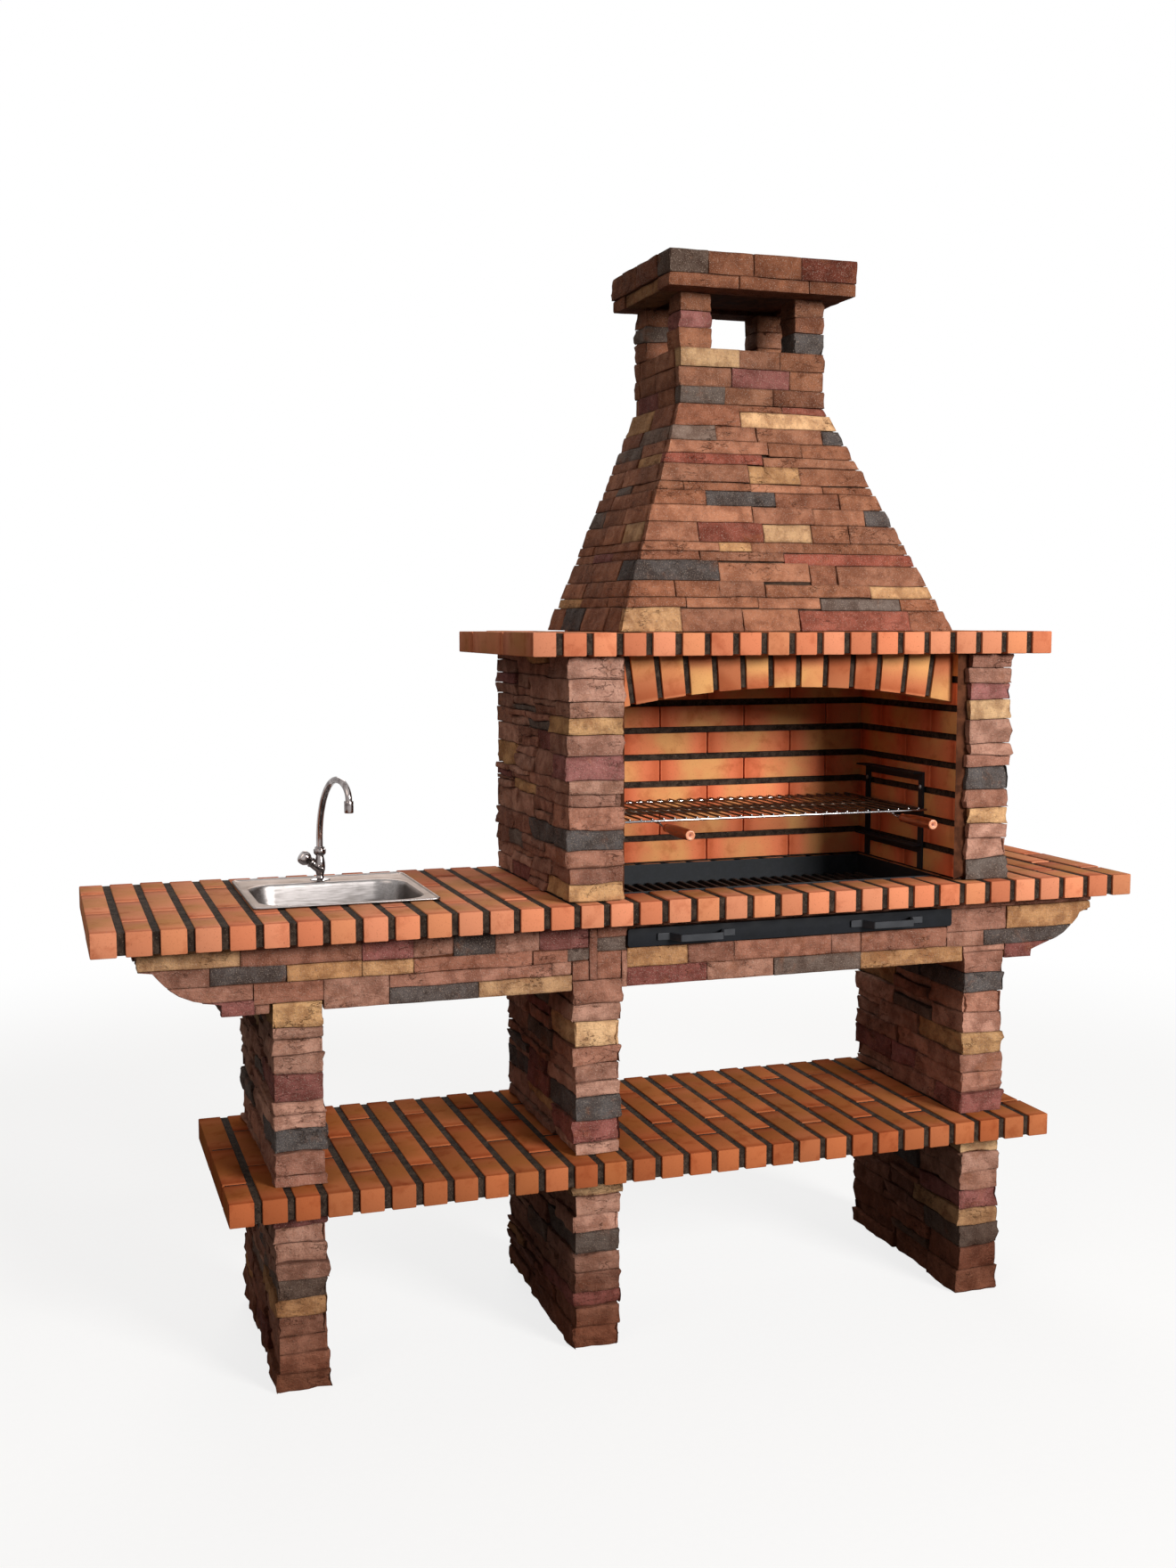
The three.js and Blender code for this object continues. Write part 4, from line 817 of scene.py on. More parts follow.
def makeWall(side, number):
    node = side + "_side_wall"
    low, high = nodeBox(node)
    inner = high.x - wallLip["width"] if side == "left" else low.x + wallLip["width"]
    x0, x1 = (low.x, inner) if side == "left" else (inner, high.x)
    letterRow, shares, accents = wallLooks[side]
    look = dict(rough, flats=(low.z, high.z))
    dice = random.Random(seeds["walls"] + number)
    bm = newTinted("stoneTint")

    def inLip(co):
        beyond = co.x > inner + 1 if side == "left" else co.x < inner - 1
        return beyond and abs(co.x - (low.x + high.x) / 2) > 10

    layCore(bm, node, (x0, x1, low.y, high.y, low.z, high.z), keep=inLip)
    for course, (z0, z1) in enumerate(courseHeights(low.z, high.z, shares)):
        splits = uneven(low.y, high.y, wallSpacing["length"], dice)
        for place, (y0, y1) in enumerate(splits):
            letter = letterRow[course]
            if place:
                letter = accents.get((course, place), pickLetter(dice, 0.04, 0.04, 0.05))
            bare = {side} | sidesWhere(front=place == 0, back=place == len(splits) - 1)
            if side == "left" and place == 0:
                layStone(bm, letter, x0, wallLip["edge"], y0, y1, z0, z1, bare | {"right"}, dice, look,
                         trim=trimToWall)
                continue
            if place == 0:
                bare |= {"left"}
            for a, b in splitBed(z0, z1, wallSpacing["split"] if place else 0.0, dice):
                layStone(bm, letter, x0, x1, y0, y1, a, b, bare, dice, look)
                letter = pickLetter(dice, 0.02, 0.02, 0.03)
    makePiece(bm, "stand", node, [splitStone, castStone], name=side + "FireboxWall")


def makeBackWall():
    low, high = nodeBox("back_wall")
    look = dict(rough, flats=(low.z, high.z))
    dice = random.Random(seeds["backWall"])
    bm = newTinted("stoneTint")
    layCore(bm, "back_wall", (low.x - coreInset, high.x + coreInset, low.y - coreInset, high.y,
                              low.z - coreInset, high.z))
    for z0, z1 in courseHeights(low.z, high.z, backWall["shares"]):
        for x0, x1 in uneven(low.x, high.x, backWall["length"], dice):
            layStone(bm, pickLetter(dice), x0, x1, high.y - backWall["depth"], high.y, z0, z1, {"back"}, dice,
                     look)
    makePiece(bm, "stand", "back_wall", [splitStone, castStone], name="fireboxBackWall")


makeWall("left", 1)
makeWall("right", 2)
makeBackWall()
print("firebox walls laid")


# Hood: thin stones on three slopes and the back, over the sooty shell
hood = {
    "centre": 293, "low": 1419.3, "high": 1884, "halfLow": 365, "halfHigh": 165, "frontLow": -186,
    "frontHigh": 14, "back": 278, "facing": 20, "keptSlope": 0.78, "sideLength": 120, "backLength": 150,
    # the hood's stones are painted a little darker, as painted shade for less light above the mantel
    "sameCorner": 0.6, "inset": 10, "shade": (0.98, 0.96, 0.95),
    "beds": (1419.3, 1466, 1486, 1519, 1560, 1578, 1597, 1637, 1672, 1702, 1720, 1757, 1779, 1806, 1838,
             1884),
    # each front stone: letter, left end, right end, low, high; None is the slope's own edge
    "front": [
        ("Y", None, 59, 1419.3, 1466), ("U", 59, 190, 1419.3, 1464), ("U", 190, 314, 1419.3, 1463),
        ("R", 314, 561, 1419.3, 1460), ("U", 561, None, 1419.3, 1460),
        ("U", None, 75, 1466, 1486), ("U", 75, 230, 1465, 1486), ("U", 230, 367, 1463, 1486),
        ("G", 367, 547, 1460, 1484), ("U", 547, None, 1460, 1484),
        ("U", None, 56, 1486, 1519), ("U", 56, 150, 1486, 1519), ("U", 150, 250, 1486, 1519),
        ("U", 250, 484, 1486, 1512), ("Y", 484, None, 1484, 1509),
        ("G", None, 156, 1519, 1560), ("U", 156, 355, 1517, 1556), ("U", 355, 415, 1511, 1552),
        ("U", 415, None, 1509, 1551),
        ("U", None, 120, 1560, 1578), ("U", 120, 303, 1558, 1577), ("R", 303, None, 1551, 1575),
        ("U", None, 165, 1578, 1597), ("Y", 165, 235, 1577, 1597), ("U", 235, 350, 1576, 1597),
        ("U", 350, None, 1575, 1597),
        ("U", None, 125, 1597, 1637), ("R", 125, 267, 1597, 1637), ("Y", 267, 374, 1597, 1634),
        ("U", 374, 460, 1597, 1634), ("U", 460, None, 1597, 1634),
        ("U", None, 250, 1637, 1672), ("U", 250, 385, 1635, 1670), ("U", 385, 503, 1634, 1668),
        ("G", 503, None, 1634, 1667),
        ("U", None, 154, 1672, 1702), ("G", 154, 307, 1671, 1701), ("U", 307, 452, 1668, 1700),
        ("U", 452, None, 1667, 1700),
        ("U", None, 110, 1702, 1720), ("U", 110, 257, 1701, 1719), ("U", 257, 420, 1700, 1717),
        ("U", 420, None, 1700, 1716),
        ("U", None, 257, 1720, 1757), ("Y", 257, 371, 1718, 1755), ("U", 371, None, 1717, 1753),
        ("R", None, 294, 1757, 1779), ("U", 294, None, 1754, 1775),
        ("U", None, 310, 1779, 1806), ("U", 310, 385, 1776, 1805), ("U", 385, None, 1775, 1805),
        ("G", None, 199, 1806, 1838), ("U", 199, 290, 1806, 1837), ("U", 290, 439, 1805, 1836),
        ("G", 439, None, 1805, 1835),
        ("U", None, 260, 1838, 1884), ("Y", 260, None, 1836, 1869), ("U", 260, 358, 1869, 1884),
        ("R", 358, None, 1869, 1884)],
    # side stones of another colour: course from the bottom, a place in y: letter
    "left": {(14, 200): "Y", (12, 230): "G", (7, 200): "G", (6, -20): "Y", (1, 250): "Y", (0, 100): "G",
             (4, 90): "M", (9, 150): "G", (10, 60): "M"},
    "right": {(2, 100): "Y", (5, 200): "G", (8, 60): "M", (11, 150): "Y", (13, 180): "G", (3, 240): "G"},
}


def hoodSlope(low, high):
    return lambda z: low + (high - low) * min(1, max(0, (z - hood["low"]) / (hood["high"] - hood["low"])))


# Each course starts on the hood's line and leans a little less, so that its top stands out as a small step
def stepEdge(edge, low):
    return lambda z: edge(low) + (edge(z) - edge(low)) * hood["keptSlope"]


def shiftEdge(edge, amount):
    return lambda z: edgeAt(edge, z) + amount


def accentAt(table, course, start, end):
    for (row, place), letter in table.items():
        if row == course and start <= place < end:
            return letter
    return None


def makeHood():
    left = hoodSlope(hood["centre"] - hood["halfLow"], hood["centre"] - hood["halfHigh"])
    right = hoodSlope(hood["centre"] + hood["halfLow"], hood["centre"] + hood["halfHigh"])
    front = hoodSlope(hood["frontLow"], hood["frontHigh"])
    back, low, high, facing = hood["back"], hood["low"], hood["high"], hood["facing"]
    look = dict(flat, flats=(low, high), shade=hood["shade"])
    dice = random.Random(seeds["hood"])
    bm = newTinted("stoneTint")
    layCore(bm, "smoke_hood", (left, right, front, back, low, high), hood["inset"])
    corners = {}
    for letter, x0, x1, z0, z1 in hood["front"]:
        leftEdge, rightEdge, frontEdge = [stepEdge(edge, z0) for edge in (left, right, front)]
        bare = sidesWhere(front=True, left=x0 is None, right=x1 is None, low=z0 == low)
        colour = layStone(bm, letter, leftEdge if x0 is None else x0, rightEdge if x1 is None else x1,
                          frontEdge, shiftEdge(frontEdge, facing), z0, z1, bare, dice, look)
        if None in (x0, x1):
            corners["left" if x0 is None else "right", round((z0 + z1) / 2)] = colour
    for course, (z0, z1) in enumerate(zip(hood["beds"], hood["beds"][1:])):
        middle = (z0 + z1) / 2
        leftEdge, rightEdge, frontEdge = [stepEdge(edge, z0) for edge in (left, right, front)]
        lowest = sidesWhere(low=course == 0)
        for side, outer in (("left", leftEdge), ("right", rightEdge)):
            inner = shiftEdge(outer, facing if side == "left" else -facing)
            edges = (outer, inner) if side == "left" else (inner, outer)
            spans = uneven(front(middle) + facing, back, hood["sideLength"], dice)
            for index, (y0, y1) in enumerate(spans):
                bare = {side} | lowest | sidesWhere(back=index == len(spans) - 1)
                letter = accentAt(hood[side], course, y0, y1)
                letter = letter or pickLetter(dice, 0.02, 0.02, 0.02).replace("B", "U")
                colour = None
                # a corner stone often has the colour of the front stone beside it
                if index == 0 and dice.random() < hood["sameCorner"]:
                    near = [shown for (where, z), shown in corners.items()
                            if where == side and abs(z - middle) < 10]
                    colour = near[0] if near else None
                nearFront = shiftEdge(frontEdge, facing) if index == 0 else y0
                layStone(bm, letter, *edges, nearFront, y1, z0, z1, bare, dice, look, colour)
        spans = uneven(left(middle) + facing, right(middle) - facing, hood["backLength"], dice)
        for index, (x0, x1) in enumerate(spans):
            x0 = shiftEdge(leftEdge, facing) if index == 0 else x0
            x1 = shiftEdge(rightEdge, -facing) if index == len(spans) - 1 else x1
            letter = pickLetter(dice, 0.04, 0.04, 0.04).replace("B", "U")
            layStone(bm, letter, x0, x1, back - facing, back, z0, z1, {"back"} | lowest, dice, look)
    makePiece(bm, "stand", "smoke_hood", [splitStone, sootyCast])


makeHood()


# One course round a square: the front and back run through, the sides fit between them
def layRing(bm, low, high, z0, z1, facing, dice, look, bare, frontStones, typical):
    for side, y0, y1 in (("front", low.y, low.y + facing), ("back", high.y - facing, high.y)):
        spans = [("U", x0, x1) for x0, x1 in uneven(low.x, high.x, typical, dice)]
        if side == "front":
            spans = frontStones
        for index, (letter, x0, x1) in enumerate(spans):
            sides = {side} | bare | sidesWhere(left=index == 0, right=index == len(spans) - 1)
            layStone(bm, letter, x0, x1, y0, y1, z0, z1, sides, dice, look)
    for side, x0, x1 in (("left", low.x, low.x + facing), ("right", high.x - facing, high.x)):
        for y0, y1 in uneven(low.y + facing, high.y - facing, typical, dice):
            letter = pickLetter(dice, 0.08, 0.08, 0.04).replace("B", "U")
            layStone(bm, letter, x0, x1, y0, y1, z0, z1, {side} | bare, dice, look)


chimney = {
    "baseFacing": 30, "baseShares": (1, 1.05, 0.95), "postShares": (1, 0.9, 1.1), "baseLength": 100,
    # the chimney's stones are painted darker, as painted shade for less light higher up
    "inset": 8, "shade": (0.89, 0.88, 0.87),
    "baseFront": ([("Y", 128, 262), ("U", 262, 355), ("U", 355, 458)],
                  [("U", 128, 246), ("M", 246, 378), ("U", 378, 458)],
                  [("G", 128, 230), ("U", 230, 340), ("U", 340, 458)]),
    "posts": {"left_front": "UMU", "right_front": "UUG", "left_rear": "UGU", "right_rear": "UUU"},
    "capSeam": 26, "capFacing": 70, "capInset": 9, "capStep": 2, "capTopLength": 130, "capLowLength": 150,
    "capTop": [("G", 82, 168), ("U", 168, 268), ("U", 268, 374), ("R", 374, 504)],
    "capLow": [("U", 84, 236), ("U", 236, 392), ("U", 392, 502)],
}
baseRelief = dict(flat, shade=chimney["shade"], offset=2.6)
postRelief = dict(rough, shade=chimney["shade"], offset=2.4, lean=1.6)
# the cap's stones are painted darker still, as painted shade for less light at the top
capRelief = dict(rough, shade=(0.74, 0.68, 0.64), offset=2.2, lean=1.4, relief=2.6, wave=2.0)


def makeChimney():
    dice = random.Random(seeds["chimney"])
    low, high = nodeBox("chimney_base")
    bm = newTinted("stoneTint")
    layCore(bm, "chimney_base", boxEdges(low, high), chimney["inset"])
    look = dict(baseRelief, flats=(low.z, high.z))
    for index, (z0, z1) in enumerate(courseHeights(low.z, high.z, chimney["baseShares"])):
        layRing(bm, low, high, z0, z1, chimney["baseFacing"], dice, look, sidesWhere(high=index == 0),
                chimney["baseFront"][index], chimney["baseLength"])
    makePiece(bm, "stand", "chimney_base", [splitStone, sootyCast])
    for corner, row in chimney["posts"].items():
        node = f"chimney_{corner}_post"
        low, high = nodeBox(node)
        bm = newTinted("stoneTint")
        layCore(bm, node, boxEdges(low, high), chimney["inset"])
        look = dict(postRelief, flats=(low.z, high.z))
        for letter, (z0, z1) in zip(row, courseHeights(low.z, high.z, chimney["postShares"])):
            layStone(bm, letter, low.x, high.x, low.y, high.y, z0, z1, {"left", "right", "front", "back"},
                     dice, look)
        makePiece(bm, "stand", node, [splitStone, castStone])
    low, high = nodeBox("chimney_cap")
    bm = newTinted("stoneTint")
    layCore(bm, "chimney_cap", boxEdges(low, high), chimney["capInset"])
    seam, facing = low.z + chimney["capSeam"], chimney["capFacing"]
    look = dict(capRelief, flats=(low.z, high.z))
    layRing(bm, low, high, seam, high.z, facing, dice, look, {"high"}, chimney["capTop"],
            chimney["capTopLength"])
    step = Vector((chimney["capStep"], chimney["capStep"], 0))
    layRing(bm, low + step, high - step, low.z, seam, facing, dice, look, {"low"}, chimney["capLow"],
            chimney["capLowLength"])
    makePiece(bm, "stand", "chimney_cap", [splitStone, castStone])


makeChimney()
print("hood and chimney laid")


# Bricks: rounded blocks whose tint carries the clay colour and the place along the brick
brick = {
    "width": 45.6, "pitch": 59.6, "arris": 2.2, "height": 46,
    "clay": [(212, 133, 97), (206, 124, 89), (215, 139, 104), (204, 131, 93), (197, 117, 84),
             (210, 134, 101)],
    "drop": 2.0, "mortarCell": 24, "grit": 0.06, "leastPart": 6,
    "evenSplits": ((0, 203), (211, 434), (442, 550)), "oddSplits": ((0, 105), (113, 323), (331, 550)),
}
brickPatterns = {}


def brickPattern(size, arris):
    key = tuple(round(length, 1) for length in size) + (arris,)
    if key not in brickPatterns:
        bm = bmesh.new()
        bmesh.ops.create_cube(bm, size=1)
        bmesh.ops.scale(bm, vec=size, verts=bm.verts)
        bmesh.ops.bevel(bm, geom=bm.edges, offset=arris, segments=2, profile=0.5, affect="EDGES", material=-1)
        brickPatterns[key] = keepMesh(bm, "brickPattern")
    return brickPatterns[key]


# One brick in its box; start and end are the uncut brick's own ends along its length
def layBrick(bm, low, high, axis, dice, start, end, clay=None, arris=brick["arris"], play=0.5, drop=0,
             shade=(1, 1, 1)):
    low, high = Vector(low), Vector(high)
    verts, faces = bringIn(bm, brickPattern(tuple(high - low), arris))
    setIndex(faces, 0)
    tint = bm.verts.layers.float_color["brickTint"]
    light = dice.uniform(0.93, 1.05)
    colour = shaded(clay or dice.choice(brick["clay"]), light, shade)
    drop = dice.uniform(0, drop)
    slack = Vector([dice.uniform(-play, play) for _ in range(3)])
    shrink = 1 - play / max(high - low)
    spin = Matrix.Rotation(dice.uniform(-1, 1) * math.radians(0.25) * play, 3, "XYZ"[(axis + 1) % 3])
    middle = (low + high) / 2
    for vert in verts:
        place = middle + spin @ (vert.co * shrink) + slack * 0.5
        share = min(1, max(0, (place[axis] - start) / (end - start)))
        place.z -= drop if vert.co.z > 0 else 0
        vert.co = place
        vert[tint] = (*colour[:3], share)


# Without a seed the mortar's noise would start from the clock
noise.seed_set(seeds["mortar"])


def mortarGrit(place, relief):
    return noise.noise_vector(place * brick["grit"]) * relief


# Mortar is a gridded bed between the bricks, roughened a little
def layMortar(bm, low, high, relief):
    size = [b - a for a, b in zip(low, high)]
    cells = tuple(max(1, min(60, round(length / brick["mortarCell"]))) for length in size)
    verts, faces = bringIn(bm, blockPattern(cells))
    setIndex(faces, 1)
    for vert in verts:
        place = Vector([a + s * share for a, s, share in zip(low, size, vert.co)])
        vert.co = place + mortarGrit(place, relief)


def aroundOpening(rect, opening):
    x0, x1, y0, y1 = rect
    if opening is None:
        return [rect]
    a, b, c, d = opening
    if x1 <= a or x0 >= b or y1 <= c or y0 >= d:
        return [rect]
    m0, m1 = max(y0, c), min(y1, d)
    parts = [(x0, x1, y0, c), (x0, x1, d, y1), (x0, a, m0, m1), (b, x1, m0, m1)]
    return [part for part in parts if min(part[1] - part[0], part[3] - part[2]) > brick["leastPart"]]


slabEdges = {"front": -252, "back": 298, "recess": 6, "topRecess": 3, "lowRecess": 3, "overlap": 0.2,
             "relief": 0.8}
slabs = {
    # start in x, number of rows, top, first row's parity and the opening as left, right, front and back
    "shelf_slab": {"start": -839.8, "rows": 29, "top": 397, "parity": 1, "opening": None,
                   # the shelf's bricks are painted darker, as painted shade under the worktop
                   "shade": (0.83, 0.76, 0.65)},
    "left_worktop_slab": {"start": -1065.8, "rows": 16, "top": 904, "parity": 0,
                          "opening": (-757.8, -417.8, -95, 183), "rightJoint": 7},
    "right_worktop_slab": {"start": -112.2, "rows": 20, "top": 904, "parity": 0,
                           "opening": (-59.6, 655.6, -142, 202), "leftJoint": 7},
    "mantel_slab": {"start": -266.2, "rows": 19, "top": 1419, "parity": 0, "opening": (-7, 593, -67, 183)},
}


def makeSlab(node, number):
    look = slabs[node]
    dice = random.Random(seeds["slabs"] + number)
    bm = newTinted("brickTint")
    front, back, recess, overlap = [slabEdges[key] for key in ("front", "back", "recess", "overlap")]
    top, low = look["top"], look["top"] - brick["height"]
    end = look["start"] + (look["rows"] - 1) * brick["pitch"] + brick["width"]
    left = look["start"] - look["leftJoint"] + overlap if "leftJoint" in look else look["start"] + recess
    right = end + look["rightJoint"] - overlap if "rightJoint" in look else end - recess
    for x0, x1, y0, y1 in aroundOpening((left, right, front + recess, back - recess), look["opening"]):
        layMortar(bm, (x0, y0, low + slabEdges["lowRecess"]), (x1, y1, top - slabEdges["topRecess"]),
                  slabEdges["relief"])
    for row in range(look["rows"]):
        x0 = look["start"] + row * brick["pitch"]
        for a, b in brick["oddSplits" if (row + look["parity"]) % 2 else "evenSplits"]:
            start, stop = front + a, front + b
            for part in aroundOpening((x0, x0 + brick["width"], start, stop), look["opening"]):
                layBrick(bm, (part[0], part[2], low), (part[1], part[3], top), 1, dice, start, stop,
                         drop=brick["drop"], shade=look.get("shade", (1, 1, 1)))
    clay = shelfBrick if node == "shelf_slab" else slabBrick
    makePiece(bm, "stand", node, [clay, darkMortar])


for number, node in enumerate(slabs):
    makeSlab(node, number)
print("slabs laid")


# Firebox lining: courses of thin bricks, and thick dark bed joints
lining = {
    "first": 908.6, "courses": 8, "joint": 3, "recess": 6, "spare": 0.4, "uncut": 200, "least": 20,
    "clay": (228, 127, 88), "arris": 1.5, "play": 0.3, "relief": 0.4, "topGap": 0.5,
    # the upright joints of the even and the odd courses
    "back": ((75.5, 277, 479), (164, 366, 569)), "side": ((-5, 208), (-108, 107, 320)),
}


def makeLining(node, axis, joints, recessSide, number):
    low, high = nodeBox(node)
    dice = random.Random(seeds["lining"] + number)
    bm = newTinted("brickTint")
    spare = Vector((lining["spare"], lining["spare"], lining["spare"]))
    bedLow, bedHigh = low + spare, high - spare
    if recessSide == "low":
        bedLow[1 - axis] += lining["recess"]
    else:
        bedHigh[1 - axis] -= lining["recess"]
    layMortar(bm, bedLow, bedHigh, lining["relief"])
    for course in range(lining["courses"]):
        z0 = lining["first"] + course * brick["pitch"]
        z1 = min(z0 + brick["width"], high.z - lining["topGap"])
        inside = [joint for joint in joints[course % 2]
                  if low[axis] + lining["least"] < joint < high[axis] - lining["least"]]
        marks = [low[axis], *inside, high[axis]]
        for index, (a, b) in enumerate(zip(marks, marks[1:])):
            last = index == len(marks) - 2
            uncutStart = a if index else b - lining["uncut"]
            uncutEnd = a + lining["uncut"] if last else b
            start, end = Vector(low), Vector(high)
            start[axis] = a + (lining["joint"] / 2 if index else 0)
            end[axis] = b - (0 if last else lining["joint"] / 2)
            start.z, end.z = z0, z1
            layBrick(bm, start, end, axis, dice, uncutStart, uncutEnd, lining["clay"], lining["arris"],
                     lining["play"])
    makePiece(bm, "stand", node, [liningBrick, darkMortar])


makeLining("back_brick_lining", 0, lining["back"], "low", 1)
makeLining("left_brick_lining", 1, lining["side"], "high", 2)
makeLining("right_brick_lining", 1, lining["side"], "low", 3)


# Arch: fanned bricks over an arc, with a joint at the left wall
arch = {
    "half": 363.6, "centre": 293, "low": 1272.7, "high": 1372.7, "front": -190, "back": -85,
    "firstJoint": -352, "pitch": 60.96, "bricks": 13, "joint": 12.5, "fan": 2500, "rise": 35, "recess": 5,
    # the arch's clay is darker than the lining's, as painted shade under the mantel's overhang
    "lift": 4, "arris": 1.6, "relief": 0.5, "clay": (186, 111, 75), "mortarCells": (39, 4, 3),
    # how far each brick's fired band is moved along it, and how much of the brick it covers
    "bands": (-0.35, -0.2, 0.25, 0.45, 0.6, 0.75), "bandShare": 0.7,
}


def archSoffit(x):
    radius = (arch["half"] ** 2 + arch["rise"] ** 2) / (2 * arch["rise"])
    return arch["low"] + arch["rise"] - radius + math.sqrt(max(0, radius ** 2 - (x - arch["centre"]) ** 2))


def layArchMortar(bm):
    verts, faces = bringIn(bm, blockPattern(arch["mortarCells"]))
    setIndex(faces, 1)
    for vert in verts:
        u, v, w = vert.co
        x = arch["centre"] + arch["half"] * (2 * u - 1)
        y = arch["front"] + arch["recess"] + (arch["back"] - arch["front"] - 2 * arch["recess"]) * v
        base = archSoffit(x) + arch["lift"]
        away = mortarGrit(Vector((x, y, 0)), arch["relief"])
        vert.co = Vector((x, y, base + (arch["high"] - 1 - base) * w)) + away


def makeArch():
    dice = random.Random(seeds["arch"])
    bm = newTinted("brickTint")
    tint = bm.verts.layers.float_color["brickTint"]
    height = arch["high"] - arch["low"]
    shrink = (arch["fan"] - height) / arch["fan"]
    layArchMortar(bm)
    for index in range(arch["bricks"]):
        joint = arch["firstJoint"] + index * arch["pitch"]
        left = -arch["half"] if index == 0 else joint - arch["pitch"] + arch["joint"] / 2
        right = arch["half"] if index == arch["bricks"] - 1 else joint - arch["joint"] / 2
        body = bmesh.new()
        bmesh.ops.create_cube(body, size=1, matrix=Matrix.Translation((0.5, 0.5, 0.5)))
        for vert in body.verts:
            u, v, w = vert.co
            x = right if u > 0.5 else left
            if w < 0.5 and abs(abs(x) - arch["half"]) > 0.1:
                x *= shrink + (1 - shrink) * (archSoffit(arch["centre"] + x) - arch["low"]) / height
            x += arch["centre"]
            z = arch["high"] if w > 0.5 else archSoffit(x)
            vert.co = (x, arch["front"] + (arch["back"] - arch["front"]) * v, z)
        bmesh.ops.bevel(body, geom=body.edges, offset=arch["arris"], segments=2, profile=0.5, affect="EDGES",
                        material=-1)
        verts = addAll(bm, body)
        colour = shaded(arch["clay"], dice.uniform(0.94, 1.06))
        band = dice.choice(arch["bands"])
        for vert in verts:
            share = min(1, max(0, (vert.co.z - arch["low"]) / height * arch["bandShare"] + band))
            vert[tint] = (*colour[:3], share)
    makePiece(bm, "stand", "brick_arch_lintel", [liningBrick, darkMortar], name="brickArch")


makeArch()
print("lining and arch laid")


# Finishes for CAD nodes that keep their shape, with their edges eased by a live bevel
def soften(node, material, width):
    piece = frame["nodes"][node]
    piece.data.materials.clear()
    piece.data.materials.append(material)
    weld = piece.modifiers.new("weld", "WELD")
    weld.merge_threshold = 0.00002
    bevel = piece.modifiers.new("bevel", "BEVEL")
    bevel.width = width * mm
    bevel.segments = 2
    bevel.limit_method = "ANGLE"
    bevel.angle_limit = math.radians(30)
    bevel.harden_normals = False
    bevel.profile = 0.5


steelNodes = {
    "fire_tray": (blackSteel, 0.8), "charcoal_grate": (rawSteel, 0.8), "ash_drawer_pan": (blackSteel, 0.5),
    "left_drawer_handle": (handleSteel, 1.3), "right_drawer_handle": (handleSteel, 1.3),
    "left_drawer_runner": (rawSteel, 0.6), "right_drawer_runner": (rawSteel, 0.6),
    "left_grill_rack": (blackSteel, 0.7), "right_grill_rack": (blackSteel, 0.7),
    "left_sink_clip": (zincSteel, 0.4), "right_sink_clip": (zincSteel, 0.4),
    "sink_waste_nut": (greyPlastic, 0.8), "sink_waste_tail": (greyPlastic, 0.6),
    "tap_back_nut": (zincSteel, 0.6), "left_rack_front_screw": (zincSteel, 0.3),
    "left_rack_rear_screw": (zincSteel, 0.3), "right_rack_front_screw": (zincSteel, 0.3),
    "right_rack_rear_screw": (zincSteel, 0.3), "sink_waste_flange": (stainless, 0.4),
}
for node, (material, width) in steelNodes.items():
    soften(node, material, width)


# Drawer front: a plate with rounded ends, which laps over the stones on its right
drawer = {"overlap": 11, "corner": 6, "rim": 0.8}


def makeDrawerFront():
    low, high = nodeBox("ash_drawer_front")
    high.x += drawer["overlap"]
    bm = bmesh.new()
    bmesh.ops.create_cube(bm, size=1, matrix=Matrix.Translation((0.5, 0.5, 0.5)))
    for vert in bm.verts:
        vert.co = Vector([a + (b - a) * share for a, b, share in zip(low, high, vert.co)])
    corners = [e for e in bm.edges if abs(e.verts[0].co.y - e.verts[1].co.y) > 1]
    bmesh.ops.bevel(bm, geom=corners, offset=drawer["corner"], segments=6, profile=0.5, affect="EDGES",
                    material=-1)
    rim = [e for e in bm.edges if all(v.co.y < low.y + 0.1 for v in e.verts)]
    bmesh.ops.bevel(bm, geom=rim, offset=drawer["rim"], segments=3, profile=0.5, affect="EDGES", material=-1)
    makePiece(bm, "ash_drawer", "ash_drawer_front", [plateSteel])


makeDrawerFront()


# Turned pieces: a profile of radius and height, spun full circle round Z and then placed
def spinProfile(bm, profile, steps, matrix):
    part = bmesh.new()
    verts = [part.verts.new((radius, 0, height)) for radius, height in profile]
    edges = [part.edges.new(pair) for pair in zip(verts, verts[1:])]
    bmesh.ops.spin(part, geom=verts + edges, cent=(0, 0, 0), axis=(0, 0, 1), angle=2 * math.pi, steps=steps,
                   use_merge=True)
    bmesh.ops.remove_doubles(part, verts=part.verts, dist=0.001)
    bmesh.ops.recalc_face_normals(part, faces=part.faces)
    bmesh.ops.transform(part, matrix=matrix, verts=part.verts)
    return addAll(bm, part)


# Rounds a coarse profile with short steps, so that turned shapes have no hard corners
def easeProfile(points):
    eased = [points[0]]
    for (r0, z0), (r1, z1) in zip(points, points[1:]):
        eased += [(r0 * 0.75 + r1 * 0.25, z0 * 0.75 + z1 * 0.25),
                  (r0 * 0.25 + r1 * 0.75, z0 * 0.25 + z1 * 0.75)]
    return eased + [points[-1]]


# A round rod or tube along points, made as a curve and kept as a mesh
def tubeAlong(bm, points, radius, sides=12):
    curve = bpy.data.curves.new("tubePath", "CURVE")
    curve.dimensions = "3D"
    curve.bevel_depth = radius
    curve.bevel_resolution = sides // 4 - 1
    curve.use_fill_caps = True
    spline = curve.splines.new("POLY")
    spline.points.add(len(points) - 1)
    for point, place in zip(spline.points, points):
        point.co = (*place, 1)
    holder = addObject("tubePath", curve)
    bpy.context.view_layer.update()
    mesh = bpy.data.meshes.new_from_object(holder)
    bringIn(bm, mesh)
    bpy.data.objects.remove(holder)
    bpy.data.curves.remove(curve)
    bpy.data.meshes.remove(mesh)


